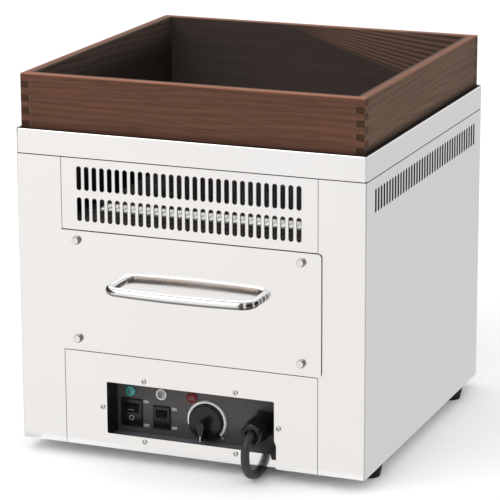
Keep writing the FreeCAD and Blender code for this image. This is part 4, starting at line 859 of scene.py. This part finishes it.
def grip_route(half, root, reach, bend, rise, steps=14):
    """Centre line of the handle in plan, as (x, y) points and tangents, from the left leg to the right.

    Two legs at x = -half and half leave the drawer at y = root, each with a second point close to the
    end that keeps its shading straight. The grip is the parabola y = reach + rise (x / w)^2, outermost
    in the middle, and bends of one radius join it to the legs; the bends turn less than a quarter, by
    the parabola's slope at its ends.
    """
    cap = 0.3 * MM
    width = half - bend
    slope = math.atan(2 * rise / width)
    width = half - bend * (1 - math.sin(slope))
    hub = (-half + bend, reach + rise + bend * math.cos(slope))
    turn = np.linspace(0.0, math.pi / 2 - slope, steps)
    bent = np.stack([hub[0] - bend * np.cos(turn), hub[1] - bend * np.sin(turn)], axis=1)
    bent_way = np.stack([np.sin(turn), -np.cos(turn)], axis=1)
    x = np.linspace(-width, width, 4 * steps)[1:-1]
    grip = np.stack([x, reach + rise * (x / width) ** 2], axis=1)
    grip_way = np.stack([np.ones_like(x), 2 * rise * x / width ** 2], axis=1)
    flip = np.array([-1.0, 1.0])
    leg = np.array([(-half, root), (-half, root - cap)])
    leg_way = np.array([(0.0, -1.0), (0.0, -1.0)])
    points = np.vstack([leg, bent, grip, (bent * flip)[::-1], (leg * flip)[::-1]])
    ways = np.vstack([leg_way, bent_way, grip_way, (bent_way * -flip)[::-1], -leg_way])
    return points, ways / np.linalg.norm(ways, axis=1)[:, None]


class ROASTER_OT_handle(MakingOperator, bpy.types.Operator):
    """Bent chrome rod of the drawer's handle, bowed outwards between its bends"""

    bl_idname = "roaster.handle"
    bl_label = "Handle"

    def execute(self, context):
        box_low, box_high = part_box("drawer_handle")
        radius = (box_high.z - box_low.z) / 2
        half = (box_high.x - box_low.x) / 2 - radius
        bend, rise, columns = sizes().handle_bend, sizes().handle_bow, 32
        points, ways = grip_route(half, box_high.y, box_low.y + radius, bend, rise)
        around = np.linspace(0, 2 * math.pi, columns, endpoint=False)
        aside = np.stack([ways[:, 1], -ways[:, 0]], axis=1)
        plan = points[:, None] + radius * np.cos(around)[None, :, None] * aside[:, None]
        level = (box_low.z + box_high.z) / 2 + radius * np.sin(around)
        rod = np.dstack([plan, np.broadcast_to(level, plan.shape[:2])])
        ends = [np.broadcast_to(row.mean(axis=0), (1, columns, 3)) for row in (rod[0], rod[-1])]
        rod = np.concatenate([ends[0], rod, ends[1]])
        faces = grid_quads(len(rod), columns)
        handle = piece("bowed_handle", rod, faces, "drawer", "chrome_with_painted_reflections", "bright_chrome")
        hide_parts("drawer_handle")
        return {"FINISHED"}


def screw(head, shank, length, lift):
    """A pan-head screw with a cross recess, along its axis.

    Rows run from the middle of the head over its dome, under it and down the shank to the end. The
    dome is an arc of height lift; the recess sinks it where the point is within about half a slot's
    width of either cross line and inside two thirds of the head.
    """
    columns = 48
    slot_half = sizes().recess_width / 2
    angle = np.linspace(0, 2 * math.pi, columns, endpoint=False)
    radii = head * np.array([0.0, 0.08, 0.16, 0.26, 0.38, 0.5, 0.6, 0.66, 0.72, 0.82, 0.92, 1.0])
    x, z = np.outer(radii, np.cos(angle)), np.outer(radii, np.sin(angle))
    dome = lift * np.sqrt(np.clip(1.0 - (radii / head) ** 2 * 0.72, 0, 1))[:, None] + 0 * x
    off_line = np.minimum(np.abs(x), np.abs(z))
    reach = np.clip((0.68 * head - np.hypot(x, z)) / (0.1 * head), 0, 1)
    sunk = np.clip((1.5 * slot_half - off_line) / (0.6 * slot_half), 0, 1) * reach
    top = np.stack([x, z, dome - 0.75 * lift * sunk], axis=-1)
    rows = [top]
    for radius, height in ((head, 0.0), (shank, 0.0), (shank, -length), (0.0, -length)):
        ring = np.stack([radius * np.cos(angle), radius * np.sin(angle), 0 * angle + height], axis=-1)
        rows.append(ring[None])
    points = np.concatenate(rows)
    return points.reshape(-1, 3), grid_quads(len(points), columns)


def vertex_places(mesh):
    """A mesh's vertices as an array of points."""
    points = np.empty(len(mesh.vertices) * 3)
    mesh.vertices.foreach_get("co", points)
    return points.reshape(-1, 3)


def solid_middles(node, across):
    """Middles of a node's separate solids as (x, z), found by grouping its vertices in space."""
    points = vertex_places(nodes[node].data)[:, [0, 2]]
    middles = []
    while len(points):
        near = np.hypot(*(points - points[0]).T) < across
        middles.append((points[near].min(axis=0) + points[near].max(axis=0)) / 2)
        points = points[~near]
    return middles


class ROASTER_OT_screws(MakingOperator, bpy.types.Operator):
    """Cross-recessed screws round the control recess and on the rear panel"""

    bl_idname = "roaster.screws"
    bl_label = "Screws"

    def execute(self, context):
        # CAD node, piece, side, face; radii of head and shank, length and height of the dome, in mm
        groups = (
            ("lower_panel_screws", "recess_screws", -1, low("lower_front_panel").y, 2.75, 1.5, 3.6, 1.6),
            ("rear_panel_screws", "cover_screws", 1, high("rear_panel").y, 3.75, 2.0, 3.6, 2.4),
        )
        apart, first_turn, next_turn = 9 * MM, 0.3, 0.9
        for node, name, side, face, *measures in groups:
            parts = []
            for index, (x, z) in enumerate(solid_middles(node, apart)):
                points, faces = screw(*(measure * MM for measure in measures))
                turn = first_turn + next_turn * index
                across = (side * -math.cos(turn), 0.0, math.sin(turn))
                up = (side * math.sin(turn), 0.0, math.cos(turn))
                parts.append((laid(points, (x, face, z), across, up), faces))
            screws = piece(name, *joined_parts(parts), "casing", "fastener_zinc", "zinc_steel")
            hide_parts(node)
        return {"FINISHED"}


def lettering(words, height):
    """Points and triangles of a word, its lower left corner at the origin, as thin raised print."""
    capital_share, spacing, narrowing, boldness = 0.7, 0.95, 0.8, 0.012
    curve = bpy.data.curves.new("word", "FONT")
    curve.body, curve.size, curve.space_character = words, height / capital_share, spacing
    curve.extrude, curve.offset = sizes().mark_lift / 2, height * boldness
    holder = placed("word", curve)
    mesh = bpy.data.meshes.new_from_object(holder)
    points = vertex_places(mesh)
    points[:, 0] *= narrowing
    points[:, 2] += sizes().mark_lift / 2
    mesh.calc_loop_triangles()
    faces = np.empty(len(mesh.loop_triangles) * 3, int)
    mesh.loop_triangles.foreach_get("vertices", faces)
    bpy.data.objects.remove(holder)
    bpy.data.curves.remove(curve)
    bpy.data.meshes.remove(mesh)
    return points, faces.reshape(-1, 3)


class ROASTER_OT_captions(MakingOperator, bpy.types.Operator):
    """Print ON and OFF beside the two switches"""

    bl_idname = "roaster.captions"
    bl_label = "Switch captions"

    def execute(self, context):
        face, height = low("control_plate").y, sizes().letter_height
        gap, from_top, from_foot = 0.9 * MM, 0.5 * MM, 0.3 * MM
        for switch in ("main_switch", "buzzer_switch"):
            bezel_low, bezel_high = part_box(switch + "_housing")
            spots = (("ON", bezel_high.z - height - from_top), ("OFF", bezel_low.z + from_foot))
            for words, level in spots:
                points, faces = lettering(words, height)
                points = laid(points, (bezel_high.x + gap, face, level))
                name = switch + "_caption_" + words.lower()
                piece(name, points, faces, "casing", "white_print", "dark_plate", smooth=False)
        return {"FINISHED"}


class ROASTER_OT_rocker_marks(MakingOperator, bpy.types.Operator):
    """Bar and ring on the main rocker"""

    bl_idname = "roaster.rocker_marks"
    bl_label = "Rocker marks"

    def execute(self, context):
        joint = joints["main_rocker_tilt"]
        pivot = np.array(joint["pos_m"])
        half_throw = math.radians(joint["range_deg"][1]) / 2
        half_height, ridge, lift = 10.5 * MM, 2.5 * MM, sizes().mark_lift
        lean = half_height * math.tan(half_throw)
        crest = ridge - lean * 0.2
        cos, sin = math.cos(half_throw), math.sin(half_throw)
        turn = np.array([[cos, -sin], [sin, cos]])
        shapes = (
            ("rocker_bar", bar([(-0.4 * MM, 0.0), (0.4 * MM, 0.0)], 6.6 * MM, lift), 1, 3.6 * MM),
            ("rocker_ring", hoop(2.5 * MM, 0.9 * MM, lift), -1, 5.8 * MM),
        )
        for name, (points, faces), side, distance in shapes:
            start = turn @ np.array([-crest, 0.0])
            end = turn @ np.array([-crest - lean, side * half_height])
            along = (end - start) / np.linalg.norm(end - start)
            spot = pivot + np.array([0.0, *(start + along * distance)])
            up = side * np.array([0.0, *along])
            points = laid(points, spot, up=up)
            piece(name, points, faces, "main_rocker", "grey_print", "black_plastic", smooth=False)
        return {"FINISHED"}


class ROASTER_OT_dial_marks(MakingOperator, bpy.types.Operator):
    """Index line on the timer knob and marks round its dial"""

    bl_idname = "roaster.dial_marks"
    bl_label = "Dial marks"

    def execute(self, context):
        knob_low, knob_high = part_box("timer_knob")
        middle, radius = centre("timer_knob"), (knob_high.x - knob_low.x) / 2
        lift, skirt_depth, grip_mark = sizes().mark_lift, 7.0 * MM, 5.5 * MM
        grip_face, skirt_face = knob_low.y, knob_high.y - skirt_depth
        tip, edge = radius - 1.9 * MM, radius - 0.7 * MM
        path = [(-tip + grip_mark, 0.0), (-tip, 0.0), (-edge, grip_face - skirt_face)]
        points, faces = bar(path, 1.0 * MM, 2 * lift)
        points = laid(points, (middle.x, grip_face, middle.z))
        piece("knob_index", points, faces, "timer_dial", "white_print", "black_plastic", smooth=False)
        ring = (high("timer_dial_ring").x - low("timer_dial_ring").x) / 2
        spot, start, width = (middle.x, low("control_plate").y, middle.z), ring + 0.9 * MM, 0.9 * MM
        parts = []
        for clock, length in ((6.0, 2.6 * MM), (4.5, 3.0 * MM)):
            angle = math.radians(90 - clock * 30)
            outward = np.array([math.cos(angle), 0.0, math.sin(angle)])
            aside = np.cross(outward, (0.0, -1.0, 0.0))
            points, faces = bar([(start, 0.0), (start + length, 0.0)], width, lift)
            parts.append((laid(points, spot, aside, outward), faces))
        piece("dial_ticks", *joined_parts(parts), "casing", "white_print", "dark_plate", smooth=False)
        return {"FINISHED"}


def stage_plane(name, place, half_x, half_y, turn, material, glossy_only=False):
    """A flat card or floor of the studio, which isn't part of the object."""
    corners = np.array([(-1, -1, 0), (1, -1, 0), (1, 1, 0), (-1, 1, 0)]) * (half_x, half_y, 0)
    mesh = bpy.data.meshes.new(name)
    mesh.from_pydata(corners.tolist(), [], [(0, 1, 2, 3)])
    mesh.materials.append(material)
    card = placed(name, mesh)
    card.rotation_euler, card.location = turn, place
    if glossy_only:
        card.visible_camera = card.visible_diffuse = card.visible_shadow = False
        card.visible_transmission = False


def card_tone(name, brightness, warmth=1.0, fall=0.0):
    """A tone that a card shows in reflections; it may be warm and fall towards the card's right."""
    paint = Paint(name, "ShaderNodeEmission")
    strength = paint.axes()[0].math("MULTIPLY_ADD", -fall, brightness) if fall else brightness
    paint.set(Color=(1.0, warmth, warmth * warmth), Strength=strength)
    return paint.material


def softbox(name, place, aim, width, height, power):
    """A rectangular area light that faces a point."""
    data = bpy.data.lights.new(name, "AREA")
    data.shape, data.size, data.size_y, data.energy = "RECTANGLE", width, height, power
    light = placed(name, data)
    light.location = place
    light.rotation_euler = (Vector(aim) - Vector(place)).to_track_quat("-Z", "Y").to_euler()
    return light


class ROASTER_OT_stage(MakingOperator, bpy.types.Operator):
    """Pale floor, soft lights and reflection cards"""

    bl_idname = "roaster.stage"
    bl_label = "Studio"

    def execute(self, context):
        scene = context.scene
        scene.view_settings.view_transform = "Standard"
        scene.view_settings.look = "None"
        paint = Paint("studio_floor")
        tone = paint.shade(colours().floor, 0.99 + paint.noise(1.5) * 0.02)
        paint.set(Base_Color=tone, Roughness=0.8, Specular_IOR_Level=0.1)
        flat, upright = (0, 0, 0), (math.pi / 2, 0, math.pi / 2)
        stage_plane("studio_floor", (0.0, 0.0, -0.0003), 14.0, 14.0, flat, paint.material)
        grey, dark = card_tone("side_card_tone", 0.69), card_tone("dark_card_tone", 0.03)
        front, far = card_tone("front_card_tone", 0.985, 0.985, 0.06), card_tone("far_card_tone", 0.82)
        side, rear = high("right_side_panel").x, high("rear_panel").y
        under, over = 0.0003, 0.0006
        # Card, its middle, its half sizes, how it is turned and its tone
        for name, place, half_x, half_y, turn, tone in (
            ("side_card", (side + 1.5, 0.6, over), 1.5, 3.0, flat, grey),
            ("front_card", (-0.4, -1.9, over), 1.6, 1.67, flat, front),
            ("rear_card", (0.0, rear + 1.5, under), 1.8, 1.5, flat, far),
            ("far_side_card", (-side - 1.5, 0.6, under), 1.5, 3.0, flat, far),
            ("left_card", (-1.5, -0.9, 0.55), 1.1, 0.5, upright, dark),
            ("right_card", (1.7, -1.3, 0.55), 1.0, 0.5, upright, dark),
        ):
            stage_plane(name, place, half_x, half_y, turn, tone, True)
        scene.world = bpy.data.worlds.new("studio_air")
        scene.world.use_nodes = True
        air = scene.world.node_tree.nodes["Background"].inputs
        air["Color"].default_value, air["Strength"].default_value = (1.0, 1.0, 1.0, 1.0), 1.0
        softbox("key_softbox", (-1.6, -3.0, 3.4), (0.0, 0.0, 0.1), 3.2, 3.2, 62.0)
        vent_light = softbox("vent_softbox", (0.0, -3.6, 2.36), (0.0, -0.1, 0.265), 0.3, 0.2, 520.0)
        receivers = bpy.data.collections.new("vent_light_receivers")
        receivers.objects.link(nodes["insulation_jacket"])
        vent_light.light_linking.receiver_collection = receivers
        return {"FINISHED"}


class ROASTER_PT_looks(bpy.types.Panel):
    """Sidebar list of the roaster's pieces and finishes"""

    bl_idname = "ROASTER_PT_looks"
    bl_label = "Electric Roaster"
    bl_space_type = "VIEW_3D"
    bl_region_type = "UI"
    bl_category = "Roaster"

    def draw(self, context):
        for operator in OPERATORS:
            self.layout.operator(operator.bl_idname)
        for group in (context.scene.roaster_sizes, context.scene.roaster_colours):
            column = self.layout.column()
            for name in type(group).__annotations__:
                column.prop(group, name)


OPERATORS = (
    ROASTER_OT_camera, ROASTER_OT_power_cord, ROASTER_OT_finishes, ROASTER_OT_handle,
    ROASTER_OT_screws, ROASTER_OT_captions, ROASTER_OT_rocker_marks, ROASTER_OT_dial_marks,
    ROASTER_OT_stage,
)
CLASSES = (RoasterSizes, RoasterColours, *OPERATORS, ROASTER_PT_looks)


def register():
    for item in CLASSES:
        bpy.utils.register_class(item)
    bpy.types.Scene.roaster_sizes = PointerProperty(type=RoasterSizes)
    bpy.types.Scene.roaster_colours = PointerProperty(type=RoasterColours)


def unregister():
    del bpy.types.Scene.roaster_colours
    del bpy.types.Scene.roaster_sizes
    for item in reversed(CLASSES):
        bpy.utils.unregister_class(item)


def main():
    register()
    bpy.ops.roaster.camera()
    bpy.ops.roaster.power_cord()
    bpy.ops.roaster.finishes()
    bpy.ops.roaster.handle()
    bpy.ops.roaster.screws()
    bpy.ops.roaster.captions()
    bpy.ops.roaster.rocker_marks()
    bpy.ops.roaster.dial_marks()
    bpy.ops.roaster.stage()


if __name__ == "__main__":
    main()
